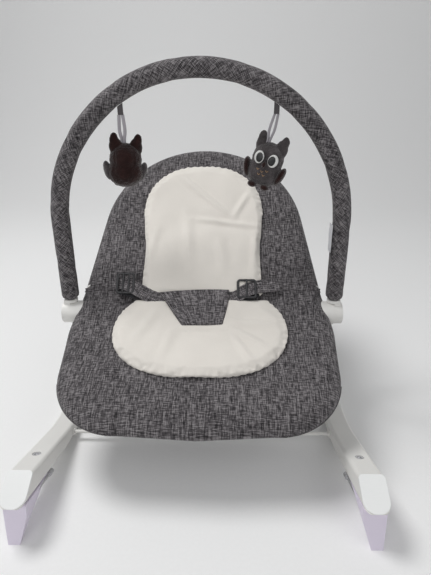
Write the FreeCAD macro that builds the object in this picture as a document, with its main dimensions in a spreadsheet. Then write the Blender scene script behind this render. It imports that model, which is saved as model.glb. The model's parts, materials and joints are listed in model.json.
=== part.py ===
"""Baby bouncer seat: two rocker runners, a hinged seat and backrest, and a toy bar.

Frame: millimetres, +Z up, +X to the sitter's left, +Y towards the backrest.
The origin is on the floor under the middle of the object.
Every driving size is in the spreadsheet; sub-parts are bound to its cells.
"""

import FreeCAD, Part
import math
import os

import Sketcher

from FreeCAD import Placement, Rotation, Vector

SIZES = [
    ("runner_inner", 217.0, "centre plane to the inner face of a runner"),
    ("runner_width", 35.0, "runner width across the object"),
    ("runner_length", 572.0, "runner length at the nose's lower edge"),
    ("runner_mid_bottom", 1.2, "height of the runner's lowest point"),
    ("runner_mid_depth", 23.0, "runner depth at the middle"),
    ("nose_low_height", 66.0, "height of the nose's lower edge"),
    ("nose_rise", 20.0, "rise of the nose face"),
    ("nose_run", 44.0, "length of the nose face along Y"),
    ("toe_reach", 112.0, "middle to the point where the underside turns up"),
    ("crown_reach", 87.0, "middle to the point where the top turns up"),
    ("runner_top_fillet", 5.5, "round on the runner's top edges"),
    ("runner_low_fillet", 10.0, "round on the runner's bottom edges"),
    ("cap_thick", 2.6, "end cap thickness"),
    ("foot_width", 31.0, "stop foot width at its top"),
    ("foot_tip_width", 13.0, "stop foot width at the floor"),
    ("foot_inset", 2.0, "stop foot's side set in from the runner's face"),
    ("foot_reach", 290.0, "middle to the tip of a stop foot"),
    ("foot_gap", 0.4, "gap between a stop foot and its runner"),
    ("pin_d", 4.0, "stop foot hinge pin"),
    ("screw_head_d", 13.0, "runner screw head"),
    ("screw_head_deep", 3.0, "runner screw head thickness"),
    ("screw_reach", 197.0, "middle to a runner screw along Y"),
    ("rod_d", 6.0, "cross rod"),
    ("rod_reach", 103.0, "middle to a cross rod"),
    ("rod_height", 17.0, "cross rod height"),
    ("rod_flange_d", 12.0, "flange at the end of a cross rod"),
    ("rod_flange_thick", 2.0, "thickness of that flange"),
    ("hub_y", 9.0, "hub axis along Y"),
    ("hub_z", 188.0, "hub axis height"),
    ("housing_in", 200.4, "inner face of the fixed hub housing"),
    ("housing_out", 226.6, "outer face of the fixed hub housing"),
    ("housing_d", 40.0, "hub housing diameter"),
    ("arm_in", 186.0, "inner face of the backrest arm"),
    ("arm_out", 200.0, "outer face of the backrest arm"),
    ("arm_d", 40.0, "backrest arm knuckle diameter"),
    ("socket_in", 227.0, "inner face of the toy bar socket"),
    ("socket_out", 241.0, "outer face of the toy bar socket"),
    ("socket_d", 37.0, "toy bar socket diameter"),
    ("bolt_d", 8.0, "hub bolt shank"),
    ("bolt_head_d", 14.0, "hub bolt head"),
    ("bolt_head_deep", 4.0, "hub bolt head thickness"),
    ("nut_d", 14.0, "hub nut"),
    ("nut_thick", 6.0, "hub nut thickness"),
    ("running_gap", 0.05, "radial clearance of a turning or plugged fit"),
    ("button_d", 18.0, "toy bar release button"),
    ("button_proud", 2.5, "how far the button stands out"),
    ("button_travel", 2.0, "button travel"),
    ("spring_d", 12.0, "button spring diameter"),
    ("frame_tube_d", 20.0, "seat and backrest frame tube"),
    ("frame_wall", 1.5, "frame tube wall"),
    ("plug_start", 24.0, "hub axis to the start of a plugged tube"),
    ("plug_end", 46.0, "hub axis to the mouth of a tube socket"),
    ("boss_d", 26.0, "tube socket outer diameter"),
    ("strut_foot_x", 234.5, "strut foot across the object"),
    ("strut_foot_y", 40.0, "strut foot along Y"),
    ("strut_sink", 9.0, "depth of the strut in the runner"),
    ("seat_slope", 18.3, "seat plane above the horizontal, degrees"),
    ("seat_tube_half", 204.0, "seat frame side, half width"),
    ("seat_tube_reach", 214.0, "hub axis to the seat frame's front bar"),
    ("seat_corner", 88.0, "seat frame corner radius"),
    ("back_slope", 42.0, "backrest above the horizontal, degrees"),
    ("back_tube_half", 194.0, "backrest frame half width at the hub"),
    ("back_arch_centre", 154.0, "hub axis to the centre of the backrest's arch"),
    ("back_arch", 170.0, "radius of the backrest frame's arch"),
    ("cover_margin", 13.0, "frame tube centre to the cover's edge"),
    ("cover_thick", 30.0, "seat and back cover thickness"),
    ("cover_round", 13.0, "round of a cover's edge"),
    ("cover_gap", 0.3, "gap between a cover and what it covers"),
    ("seat_cover_start", 2.0, "hub axis to the seat cover"),
    ("back_cover_start", 30.0, "hub axis to the back cover"),
    ("hub_pocket_d", 48.0, "pocket in a cover round the hub"),
    ("pad_thick", 10.0, "insert pad thickness"),
    ("pad_round", 4.0, "round of an insert pad's edge"),
    ("seat_pad_half", 141.0, "seat pad half width"),
    ("seat_pad_front", 147.0, "hub axis to the seat pad's front"),
    ("back_pad_half", 109.0, "back pad half width"),
    ("back_pad_top", 288.0, "hub axis to the back pad's top"),
    ("back_pad_start", 46.0, "hub axis to the back pad's lower edge"),
    ("bar_half", 227.0, "toy bar half width"),
    ("bar_leg", 157.0, "hub axis to the centre of the toy bar's arch"),
    ("bar_tube_d", 16.0, "toy bar tube"),
    ("bar_sleeve_d", 28.6, "toy bar sleeve"),
    ("bar_sleeve_start", 17.0, "hub axis to the lower edge of the sleeve"),
    ("bar_lean", 6.0, "toy bar's lean back, degrees"),
    ("toy_reach", 116.0, "middle to a hanging toy"),
    ("tab_width", 8.0, "toy tab width"),
    ("tab_thick", 2.4, "toy tab thickness"),
    ("tab_drop", 13.0, "toy tab length below the sleeve"),
    ("ribbon_drop", 43.0, "ribbon length"),
    ("ribbon_thick", 1.2, "ribbon thickness"),
    ("ribbon_width", 6.0, "ribbon width"),
    ("owl_height", 66.0, "plush owl's body height"),
    ("owl_width", 54.0, "plush owl's body width"),
    ("owl_ear", 20.0, "plush owl's ear length"),
    ("strap_width", 25.0, "waist strap width"),
    ("strap_thick", 3.0, "waist strap thickness"),
    ("crotch_top", 121.0, "crotch piece width at its top"),
    ("crotch_low", 66.0, "crotch piece width at its slot"),
    ("crotch_long", 74.0, "crotch piece length"),
    ("crotch_thick", 6.0, "crotch piece thickness"),
    ("label_wide", 22.0, "care label width"),
    ("label_long", 46.0, "care label length"),
    ("label_thick", 0.8, "care label thickness"),
]

doc = FreeCAD.newDocument("BouncerSeat")
sheet = doc.addObject("Spreadsheet::Sheet", "Sizes")
for row, (alias, value, note) in enumerate(SIZES, 1):
    sheet.set(f"A{row}", note)
    sheet.set(f"B{row}", str(value))
    sheet.setAlias(f"B{row}", alias)
doc.recompute()

SIDES = (("left", 1), ("right", -1))
ENDS = (("front", -1), ("rear", 1))
ORIGIN = Vector(0, 0, 0)
X_AXIS = Vector(1, 0, 0)
Y_AXIS = Vector(0, 1, 0)
Z_AXIS = Vector(0, 0, 1)
nodes = []


def size(alias):
    """The value of one cell of the sheet."""
    return float(sheet.get(alias))


def cell(text):
    """An expression in which each @name is a cell of the sheet."""
    return text.replace("@", "Sizes.")


def bind(thing, **expressions):
    for prop, text in expressions.items():
        thing.setExpression(prop, cell(text))


def keep(thing, label):
    """Make a finished object a sub-part, under the name of its file."""
    thing.Label = label
    nodes.append(thing)
    return thing


def along(direction, start=ORIGIN):
    """A placement that turns local Z to a direction."""
    return Placement(start, Rotation(Z_AXIS, direction))


def cylinder(name, radius, height, placement):
    made = doc.addObject("Part::Cylinder", name)
    bind(made, Radius=radius, Height=height)
    made.Placement = placement
    return made


def ball(name, radius, centre):
    made = doc.addObject("Part::Sphere", name)
    bind(made, Radius=radius)
    made.Placement = Placement(centre, Rotation())
    return made


def box(name, length, width, height, placement):
    made = doc.addObject("Part::Box", name)
    bind(made, Length=length, Width=width, Height=height)
    made.Placement = placement
    return made


def fuse(name, shapes):
    made = doc.addObject("Part::MultiFuse", name)
    made.Shapes = shapes
    made.Refine = True
    return made


def cut(name, base, tools):
    """Base less one tool, or less all of several."""
    made = doc.addObject("Part::Cut", name)
    made.Base = base
    made.Tool = tools[0] if len(tools) == 1 else fuse(f"{name}_tools", tools)
    return made


def new_body(name):
    return doc.addObject("PartDesign::Body", name)


def sketch(body, name, role):
    """An empty sketch on one of the body's own origin planes."""
    made = body.newObject("Sketcher::SketchObject", name)
    plane = next(f for f in body.Origin.OriginFeatures if f.Role == role)
    made.AttachmentSupport = [(plane, "")]
    made.MapMode = "FlatFace"
    return made


def rounded(points, radii, closed=False):
    """Lines through the points, each corner replaced by a tangent arc of its radius."""
    count = len(points)
    corners = range(count) if closed else range(1, count - 1)
    cuts = {}
    for i in corners:
        corner = points[i]
        before = (points[i - 1] - corner).normalize()
        after = (points[(i + 1) % count] - corner).normalize()
        opening = before.getAngle(after)
        radius = radii[i]
        if radius == 0 or math.pi - opening < 1e-6:
            cuts[i] = (corner, None, corner)
            continue
        reach = radius / math.tan(opening / 2)
        middle = (before + after).normalize()
        centre = corner + middle * (radius / math.sin(opening / 2))
        bulge = centre - middle * radius
        cuts[i] = (corner + before * reach, bulge, corner + after * reach)
    pieces = []
    for i in range(count if closed else count - 1):
        following = (i + 1) % count
        start = cuts[i][2] if i in cuts else points[i]
        stop = cuts[following][0] if following in cuts else points[following]
        if (stop - start).Length > 1e-6:
            pieces.append(Part.LineSegment(start, stop))
        if following in cuts and cuts[following][1] is not None:
            pieces.append(Part.Arc(*cuts[following]))
    return pieces


def outline(body, name, role, pieces):
    made = sketch(body, name, role)
    made.addGeometry(pieces, False)
    return made


def pad(body, name, profile, length, both_ways=False, backwards=False):
    made = body.newObject("PartDesign::Pad", name)
    made.Profile = profile
    made.Midplane = both_ways
    made.Reversed = backwards
    bind(made, Length=length)
    body.Tip = made
    return made


def edge_names(shape, wanted):
    """Names of the edges that a test picks, such as Edge3."""
    return [f"Edge{i}" for i, edge in enumerate(shape.Edges, 1) if wanted(edge)]


def fillet(body, name, base, radius, wanted):
    doc.recompute()
    made = body.newObject("PartDesign::Fillet", name)
    made.Base = (base, edge_names(base.Shape, wanted))
    bind(made, Radius=radius)
    body.Tip = made
    return made


def pipe(name, role, path, start_role, radius, bore=None):
    """A tube swept along a path sketch, from a ring or disc on the start plane."""
    body = new_body(name)
    spine = outline(body, f"{name}_path", role, path)
    ring = sketch(body, f"{name}_section", start_role)
    start = path[0].StartPoint
    centre = Vector(start.x, 0, 0)
    for k, text in enumerate((radius, bore)):
        if text is None:
            continue
        ring.addGeometry(Part.Circle(centre, Z_AXIS, 5.0 - k), False)
        ring.addConstraint(Sketcher.Constraint("Radius", k, 5.0 - k))
        ring.setExpression(f"Constraints[{k}]", cell(text))
    doc.recompute()
    made = body.newObject("PartDesign::AdditivePipe", f"{name}_sweep")
    made.Profile = ring
    made.Spine = (spine, [f"Edge{i + 1}" for i in range(len(path))])
    body.Tip = made
    return body


def mirrored(points):
    """The points and their mirror images across the X = 0 or Y = 0 line of a sketch."""
    return points + [Vector(-p.x, p.y, 0) for p in reversed(points)]


def put(thing, placement):
    thing.Placement = placement
    return thing


HUB = Vector(0, size("hub_y"), size("hub_z"))
SEAT = Placement(HUB, Rotation(X_AXIS, size("seat_slope")))
BACK = Placement(HUB, Rotation(X_AXIS, size("back_slope")))
BAR = Placement(HUB, Rotation(X_AXIS, -size("bar_lean")))


def shifted(frame, x=0.0, y=0.0, z=0.0):
    """A frame moved along its own axes."""
    return frame.multiply(Placement(Vector(x, y, z), Rotation()))


def across(side, inner, y=0.0, z=0.0, frame=None):
    """A placement whose local Z points outwards along X, from a distance off the middle."""
    start = Placement(Vector(side * inner, y, z), Rotation(Z_AXIS, X_AXIS * side))
    return (frame or Placement(HUB, Rotation())).multiply(start)


# ---------------------------------------------------------------- runners
NOSE_END = size("runner_length") / 2
CREST = NOSE_END - size("nose_run")
LOW = size("runner_mid_bottom")
TOE_HEIGHT = LOW + 3.3
UNDER_SLOPE = (size("nose_low_height") - TOE_HEIGHT) / (NOSE_END - size("toe_reach"))
TOE_ROUND = 250.0
ROCKER_ROUND = 1500.0
CROWN_ROUND = 200.0


def under(y):
    """Height of a runner's underside at a distance from the middle, rounds left out."""
    return TOE_HEIGHT + (abs(y) - size("toe_reach")) * UNDER_SLOPE


def runner(side_name, side):
    body = new_body(f"runner_{side_name}_body")
    top = LOW + size("runner_mid_depth")
    points = mirrored([
        Vector(-NOSE_END, size("nose_low_height"), 0),
        Vector(-CREST, size("nose_low_height") + size("nose_rise"), 0),
        Vector(-size("crown_reach"), top, 0),
    ])
    points += mirrored([Vector(size("toe_reach"), TOE_HEIGHT, 0), Vector(0.001, LOW, 0)])
    del points[-2]
    radii = [0, 0, CROWN_ROUND, CROWN_ROUND, 0, 0, TOE_ROUND, ROCKER_ROUND, TOE_ROUND]
    profile = outline(body, f"runner_{side_name}_side", "YZ_Plane", rounded(points, radii, True))
    beam = pad(body, f"runner_{side_name}_pad", profile, "@runner_width")

    def lengthwise(edge):
        ends = [v.Point for v in edge.Vertexes]
        return abs(ends[0].x - ends[1].x) < 1e-6

    def middle(edge):
        return edge.valueAt((edge.FirstParameter + edge.LastParameter) / 2)

    def on_top(edge):
        spot = middle(edge)
        return lengthwise(edge) and abs(spot.y) < CREST and spot.z - max(LOW, under(spot.y)) > 12

    def below(edge):
        spot = middle(edge)
        return lengthwise(edge) and abs(spot.y) < CREST and spot.z - max(LOW, under(spot.y)) < 12

    crown = fillet(body, f"runner_{side_name}_crown", beam, "@runner_top_fillet", on_top)
    fillet(body, f"runner_{side_name}_keel", crown, "@runner_low_fillet", below)
    start = size("runner_inner") if side > 0 else -size("runner_inner") - size("runner_width")
    body.Placement = Placement(Vector(start, 0, 0), Rotation())
    return body


TOP_SLOPE = math.atan2(
    size("nose_low_height") + size("nose_rise") - LOW - size("runner_mid_depth"),
    CREST - size("crown_reach"),
)
RUNNER_X = size("runner_inner") + size("runner_width") / 2


def runner_top(y):
    """Height of a runner's top face at a distance from the middle."""
    rise = (abs(y) - size("crown_reach")) * math.tan(TOP_SLOPE)
    return LOW + size("runner_mid_depth") + max(0.0, rise)


def screw_frame(side, end):
    """On the runner's top face, local Z out of the face."""
    y = end * size("screw_reach")
    tilt = -end * math.degrees(-TOP_SLOPE)
    spot = Vector(side * RUNNER_X, y, runner_top(y))
    return Placement(spot, Rotation(X_AXIS, tilt))


strut_start = HUB + X_AXIS * ((size("housing_in") + size("housing_out")) / 2)
strut_stop = Vector(size("strut_foot_x"), size("strut_foot_y"), LOW + size("runner_mid_depth"))
STRUT_LENGTH = (strut_stop - strut_start).Length


def strut_frame(side):
    """At the hub, local Z down the strut."""
    start = Vector(side * strut_start.x, strut_start.y, strut_start.z)
    stop = Vector(side * strut_stop.x, strut_stop.y, strut_stop.z)
    return along(stop - start, start)


def strut_end():
    """Hub axis to the strut's lower end, inside the runner."""
    return STRUT_LENGTH + size("strut_sink")


screw_parts = []
for side_name, side in SIDES:
    tools = []
    for end_name, end in ENDS:
        seat = shifted(screw_frame(side, end), z=-size("screw_head_deep") - 0.6)
        tag = f"{side_name}_{end_name}"
        tools.append(cylinder(f"screw_bore_{tag}", "@screw_head_d / 2 + @running_gap", "30", seat))
        head = cylinder(f"screw_head_{tag}", "@screw_head_d / 2", "@screw_head_deep", seat)
        socket = cylinder(
            f"screw_socket_{tag}", "@screw_head_d / 4", "@screw_head_deep", shifted(seat, z=1.2)
        )
        screw_parts.append(cut(f"screw_{tag}", head, [socket]))
    tools.append(cylinder(
        f"strut_bore_{side_name}",
        "@frame_tube_d / 2 + @running_gap",
        "60",
        shifted(strut_frame(side), z=strut_end() - 60.0),
    ))
    keep(cut(f"runner_{side_name}_cut", runner(side_name, side), tools), f"runner_{side_name}")

screws = doc.addObject("Part::Compound", "runner_screw_set")
screws.Links = screw_parts
keep(screws, "runner_screws")

NOSE_TILT = math.degrees(math.atan2(size("nose_rise"), size("nose_run")))
NOSE_FACE = math.hypot(size("nose_rise"), size("nose_run"))


def end_cap(side_name, side, end_name, end):
    """An obround plate on a runner's slanted end, round at its lower edge."""
    name = f"{end_name}_cap_{side_name}"
    body = new_body(f"{name}_body")
    half = size("runner_width") / 2
    points = [
        Vector(-half, -NOSE_FACE / 2, 0),
        Vector(half, -NOSE_FACE / 2, 0),
        Vector(half, NOSE_FACE / 2, 0),
        Vector(-half, NOSE_FACE / 2, 0),
    ]
    shape = rounded(points, [half * 0.9, half * 0.9, 6.0, 6.0], True)
    pad(body, f"{name}_plate", outline(body, f"{name}_face", "XY_Plane", shape), "@cap_thick")
    height = size("nose_low_height") + size("nose_rise") / 2
    spot = Vector(side * RUNNER_X, end * (NOSE_END + CREST) / 2, height)
    turn = Rotation(Z_AXIS, 180 if end > 0 else 0).multiply(Rotation(X_AXIS, NOSE_TILT))
    keep(put(body, Placement(spot, turn)), name)


for side_name, side in SIDES:
    for end_name, end in ENDS:
        end_cap(side_name, side, end_name, end)


# ---------------------------------------------------------------- stop feet
FOOT_TOP_FRONT = 13.0
FOOT_TOP_REAR = 86.0
PIN_DROP = 4.6
PIN_INSET = 4.2
PIN_STICK = 28.5
BLOCK_LONG = 10.0
SLANT_TOP = 46.0


def foot(side_name, side, end_name, end):
    """A wedge that stops the rocking; it hinges inwards on a pin along the runner's edge."""
    name = f"{end_name}_foot_{side_name}"
    reach = size("foot_reach")
    gap = size("foot_gap") / math.cos(math.atan(UNDER_SLOPE))

    def top(back):
        return Vector(end * (reach - back), under(reach - back) - gap, 0)

    points = [
        top(FOOT_TOP_FRONT),
        top(FOOT_TOP_REAR),
        Vector(end * (reach - 44), 23, 0),
        Vector(end * (reach - 12), 9, 0),
        Vector(end * (reach - 8), 0, 0),
        Vector(end * reach, 0, 0),
    ]
    body = new_body(f"{name}_body")
    shape = rounded(points, [3, 0, 30, 6, 0, 0], True)
    pad(body, f"{name}_pad", outline(body, f"{name}_side", "YZ_Plane", shape), "@foot_width")
    inner = size("runner_inner") + size("foot_inset")
    start = inner if side > 0 else -inner - size("foot_width")
    body.Placement = Placement(Vector(start, 0, 0), Rotation())
    wedge = new_body(f"{name}_wedge")
    tip = inner + size("foot_width") - 3 - size("foot_tip_width")
    slant = [
        Vector(side * (inner - 5), SLANT_TOP, 0),
        Vector(side * inner, SLANT_TOP, 0),
        Vector(side * tip, 0, 0),
        Vector(side * tip, -5, 0),
        Vector(side * (inner - 5), -5, 0),
    ]
    face = outline(wedge, f"{name}_slant", "XZ_Plane", rounded(slant, [0, 0, 0, 0, 0], True))
    pad(wedge, f"{name}_slant_pad", face, "1000", both_ways=True)
    start = shifted(foot_pin_frame(side, end), z=-PIN_STICK)
    hole = cylinder(f"{name}_bore", "@pin_d / 2 + @running_gap", f"{PIN_STICK + 25.0}", start)
    keep(cut(f"{name}_cut", body, [wedge, hole]), name)


def foot_pin_frame(side, end):
    """At the rear end of a stop foot, local Z along its hinge towards the tip."""
    y = size("foot_reach") - FOOT_TOP_REAR
    down = PIN_DROP / math.cos(math.atan(UNDER_SLOPE))
    x = size("runner_inner") + PIN_INSET
    spot = Vector(side * x, end * (y + 16.0), under(y + 16.0) - down)
    return along(Vector(0, end, UNDER_SLOPE), spot)


# ---------------------------------------------------------------- cross rods
for end_name, end in ENDS:
    spot = Vector(-size("runner_inner"), end * size("rod_reach"), size("rod_height"))
    rod = cylinder(f"{end_name}_rod_bar", "@rod_d / 2", "2 * @runner_inner", along(X_AXIS, spot))
    flanges = []
    for side_name, side in SIDES:
        start = Vector(side * size("runner_inner"), spot.y, spot.z)
        flanges.append(cylinder(
            f"{end_name}_rod_flange_{side_name}",
            "@rod_flange_d / 2",
            "@rod_flange_thick",
            along(X_AXIS * -side, start),
        ))
    keep(fuse(f"{end_name}_rod_fuse", [rod] + flanges), f"{end_name}_cross_rod")


def foot_hinge(side_name, side, end_name, end):
    """A block under the runner that holds the stop foot's hinge pin."""
    name = f"{end_name}_foot_hinge_{side_name}"
    start = shifted(foot_pin_frame(side, end), z=-PIN_STICK)
    pin = cylinder(f"{name}_pin", "@pin_d / 2", f"{PIN_STICK + 24.0}", start)
    block = cylinder(f"{name}_block", "@pin_d", f"{BLOCK_LONG}", start)
    keep(fuse(f"{name}_fuse", [pin, block]), name)


for side_name, side in SIDES:
    for end_name, end in ENDS:
        foot(side_name, side, end_name, end)
        foot_hinge(side_name, side, end_name, end)


# ---------------------------------------------------------------- hubs and struts
def hub_disc(name, diameter, side, inner, outer):
    """A disc on the hub axis between two distances from the middle."""
    return cylinder(name, f"@{diameter} / 2", f"@{outer} - @{inner}", across(side, size(inner)))


def hub_bore(name, side):
    """A running bore along the whole hub."""
    return cylinder(name, "@bolt_d / 2 + @running_gap", "100", across(side, size("arm_in") - 20))


def tube_bore(name, frame):
    """The plugged end of a frame tube, cut out of its socket."""
    radius = "@frame_tube_d / 2 + @running_gap"
    return cylinder(name, radius, "60", shifted(frame, z=size("plug_start") - 0.5))


def boss(name, frame, start=1.5):
    """A round boss for a plugged tube, clear of the knuckle beside it."""
    inner = size("housing_d") / 2 + start
    made = cylinder(name, "@boss_d / 2", f"@plug_end - @housing_d / 2 - {start}", shifted(frame, z=inner))
    return made


for side_name, side in SIDES:
    seat_socket = SEAT.multiply(along(Y_AXIS * -1, Vector(side * size("seat_tube_half"), 0, 0)))
    strut = strut_frame(side)
    parts = [
        hub_disc(f"housing_disc_{side_name}", "housing_d", side, "housing_in", "housing_out"),
        boss(f"housing_seat_boss_{side_name}", seat_socket),
        boss(f"housing_strut_boss_{side_name}", strut, 0.7),
        box(
            f"housing_web_{side_name}", "16", "22", "14",
            SEAT.multiply(Placement(
                Vector(side * (size("housing_in") + 8.0) - 8.0, -22.0, -7.0), Rotation()
            )),
        ),
    ]
    bores = [
        hub_bore(f"housing_bore_{side_name}", side),
        tube_bore(f"housing_seat_bore_{side_name}", seat_socket),
        tube_bore(f"housing_strut_bore_{side_name}", strut),
    ]
    solid = fuse(f"housing_fuse_{side_name}", parts)
    keep(cut(f"housing_cut_{side_name}", solid, bores), f"hub_housing_{side_name}")

    tube = cylinder(
        f"strut_tube_{side_name}", "@frame_tube_d / 2", f"{strut_end()} - @plug_start",
        shifted(strut, z=size("plug_start")),
    )
    hollow = cylinder(
        f"strut_hollow_{side_name}", "@frame_tube_d / 2 - @frame_wall", "400", strut
    )
    keep(cut(f"strut_cut_{side_name}", tube, [hollow]), f"strut_{side_name}")

    back_socket = BACK.multiply(along(Y_AXIS, Vector(side * size("back_tube_half"), 0, 0)))
    arm = fuse(f"arm_fuse_{side_name}", [
        hub_disc(f"arm_disc_{side_name}", "arm_d", side, "arm_in", "arm_out"),
        boss(f"arm_boss_{side_name}", back_socket),
        box(
            f"arm_web_{side_name}", "12", "22", "14",
            BACK.multiply(Placement(
                Vector(side * (size("arm_in") + 7.0) - 6.0, 0, -7.0), Rotation()
            )),
        ),
    ])
    keep(cut(f"arm_cut_{side_name}", arm, [
        hub_bore(f"arm_bore_{side_name}", side),
        tube_bore(f"arm_tube_bore_{side_name}", back_socket),
    ]), f"back_arm_{side_name}")

    bolt_head_start = size("socket_in") + 3.0
    shank_start = size("arm_in") - size("nut_thick")
    bolt = fuse(f"bolt_fuse_{side_name}", [
        cylinder(
            f"bolt_shank_{side_name}", "@bolt_d / 2", f"{bolt_head_start} - {shank_start}",
            across(side, shank_start),
        ),
        cylinder(
            f"bolt_head_{side_name}", "@bolt_head_d / 2", "@bolt_head_deep",
            across(side, bolt_head_start),
        ),
    ])
    keep(bolt, f"hub_bolt_{side_name}")
    nut = cylinder(
        f"nut_round_{side_name}", "@nut_d / 2", "@nut_thick - 0.3", across(side, shank_start)
    )
    nut_bore = hub_bore(f"nut_bore_{side_name}", side)
    keep(cut(f"nut_cut_{side_name}", nut, [nut_bore]), f"hub_nut_{side_name}")

    leg = BAR.multiply(Placement(Vector(side * size("bar_half"), 0, 0), Rotation()))
    head_end = bolt_head_start + size("bolt_head_deep")
    bar_socket = fuse(f"bar_socket_fuse_{side_name}", [
        hub_disc(f"bar_socket_disc_{side_name}", "socket_d", side, "socket_in", "socket_out"),
        cylinder(
            f"bar_socket_boss_{side_name}", "@bar_tube_d / 2 + 3.2", "5",
            shifted(leg, z=size("housing_d") / 2 + 0.6),
        ),
        box(
            f"bar_socket_web_{side_name}", "10", "18", "25.4",
            BAR.multiply(Placement(
                Vector(side * (size("socket_in") + 5.0) - 5.0, -9.0, 0), Rotation()
            )),
        ),
    ])
    keep(cut(f"bar_socket_cut_{side_name}", bar_socket, [
        hub_bore(f"bar_socket_bore_{side_name}", side),
        cylinder(
            f"bar_socket_pocket_{side_name}", "@button_d / 2 + @running_gap", "20",
            across(side, head_end),
        ),
        cylinder(
            f"bar_socket_seat_{side_name}", "@bolt_head_d / 2 + @running_gap", "20",
            across(side, bolt_head_start - 0.05),
        ),
    ]), f"bar_socket_{side_name}")

    button_start = size("socket_out") - 1.4
    button = cylinder(
        f"button_disc_{side_name}", "@button_d / 2", "1.4 + @button_proud",
        across(side, button_start),
    )
    keep(button, f"release_button_{side_name}")
    spring_start = head_end + size("button_travel") + 0.3
    coil = cylinder(
        f"spring_round_{side_name}", "@spring_d / 2", f"{button_start - spring_start}",
        across(side, spring_start),
    )
    core = cylinder(
        f"spring_core_{side_name}", "@spring_d / 2 - 1.4", "30", across(side, spring_start)
    )
    keep(cut(f"spring_cut_{side_name}", coil, [core]), f"button_spring_{side_name}")


# ---------------------------------------------------------------- frame tubes
def side_and_arch(half, start, centre, radius, bend=0.0):
    """Two sides that lean in to meet an arch, from one lower end round to the other."""
    foot_point = Vector(-half, start, 0)
    turn = Vector(-half, start + bend, 0)
    middle = Vector(0, centre, 0)
    reach = (turn - middle).Length
    angle = math.atan2(turn.y - centre, turn.x) - math.acos(radius / reach)
    touch = middle + Vector(math.cos(angle), math.sin(angle), 0) * radius
    first = [foot_point, turn, touch] if bend else [foot_point, touch]
    radii = [0, 3 * bend, 0] if bend else [0, 0]
    crown = middle + Vector(0, radius, 0)
    left = rounded(first, radii)
    right = rounded([Vector(-p.x, p.y, 0) for p in reversed(first)], radii)
    return left + [Part.Arc(touch, crown, Vector(-touch.x, touch.y, 0))] + right


def u_path(half, start, reach, corner):
    """A U from one end, round the front and back to the other."""
    points = mirrored([Vector(-half, start, 0), Vector(-half, -reach, 0)])
    return rounded(points, [0, corner, corner, 0])


def seat_tube(name, radius, bore=None):
    path = u_path(size("seat_tube_half"), 0, size("seat_tube_reach") - size("plug_start"), size("seat_corner"))
    made = pipe(name, "XY_Plane", path, "XZ_Plane", radius, bore)
    return put(made, shifted(SEAT, y=-size("plug_start")))


def back_tube(name, radius, bore=None):
    centre = size("back_arch_centre") - size("plug_start")
    path = side_and_arch(size("back_tube_half"), 0, centre, size("back_arch"), 36.0)
    made = pipe(name, "XY_Plane", path, "XZ_Plane", radius, bore)
    return put(made, shifted(BACK, y=size("plug_start")))


def bar_tube(name, start, radius, bore=None):
    leg = size("bar_leg") - start
    half = size("bar_half")
    path = rounded([Vector(-half, 0, 0), Vector(-half, leg, 0)], [0, 0])
    path.append(Part.Arc(Vector(-half, leg, 0), Vector(0, leg + half, 0), Vector(half, leg, 0)))
    path += rounded([Vector(half, leg, 0), Vector(half, 0, 0)], [0, 0])
    made = pipe(name, "XZ_Plane", path, "XY_Plane", radius, bore)
    return put(made, shifted(BAR, z=start))


TUBE = "@frame_tube_d / 2"
keep(seat_tube("seat_frame_pipe", TUBE, f"{TUBE} - @frame_wall"), "seat_frame")
keep(back_tube("back_frame_pipe", TUBE, f"{TUBE} - @frame_wall"), "back_frame")
tube_start = size("housing_d") / 2 + 5.8
keep(bar_tube("bar_tube_pipe", tube_start, "@bar_tube_d / 2", "@bar_tube_d / 2 - 1.5"), "toy_bar_tube")
sleeve_bore = "@bar_tube_d / 2 + @running_gap"
keep(bar_tube("bar_sleeve_pipe", tube_start + 0.2, "@bar_sleeve_d / 2", sleeve_bore), "toy_bar_sleeve")


# ---------------------------------------------------------------- soft covers and pads
def slab(name, pieces, thick, round_cell, frame, lift=0.0, both_faces=True):
    """A flat outline made thick about its plane, with its edges rounded."""
    body = new_body(name)
    layer = pad(body, f"{name}_pad", outline(body, f"{name}_edge", "XY_Plane", pieces), thick)
    doc.recompute()
    top = layer.Shape.BoundBox.ZMax

    def rim(edge):
        heights = [v.Point.z for v in edge.Vertexes]
        flat = abs(heights[0] - heights[-1]) < 1e-6
        return flat and (abs(heights[0] - top) < 1e-6 or both_faces)

    fillet(body, f"{name}_round", layer, round_cell, rim)
    return put(body, shifted(frame, z=lift))


def hub_tools(name, frame, forward):
    """What the hubs and tube sockets take out of a cover at its hinge end."""
    tools = []
    for side_name, side in SIDES:
        tools.append(cylinder(
            f"{name}_pocket_{side_name}", "@hub_pocket_d / 2", "60",
            across(side, size("arm_in") - size("nut_thick") - 2.0),
        ))
        half = size("seat_tube_half") if forward < 0 else size("back_tube_half")
        tools.append(cylinder(
            f"{name}_socket_{side_name}", "@boss_d / 2 + @cover_gap", "@plug_end + @cover_gap",
            frame.multiply(along(Y_AXIS * forward, Vector(side * half, 0, 0))),
        ))
    return tools


THICK = size("cover_thick")
margin = size("cover_margin")
seat_edge = u_path(
    size("seat_tube_half") + margin, -size("seat_cover_start"),
    size("seat_tube_reach") + margin, size("seat_corner") + margin,
)
seat_edge.append(Part.LineSegment(seat_edge[-1].EndPoint, seat_edge[0].StartPoint))
CHANNEL = f"{TUBE} + @cover_gap"
seat_slab = slab("seat_cover_slab", seat_edge, "@cover_thick", "@cover_round", SEAT, -THICK / 2)
seat_tools = [seat_tube("seat_channel", CHANNEL)] + hub_tools("seat_cover", SEAT, -1)
keep(cut("seat_cover_cut", seat_slab, seat_tools), "seat_cover")

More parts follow.
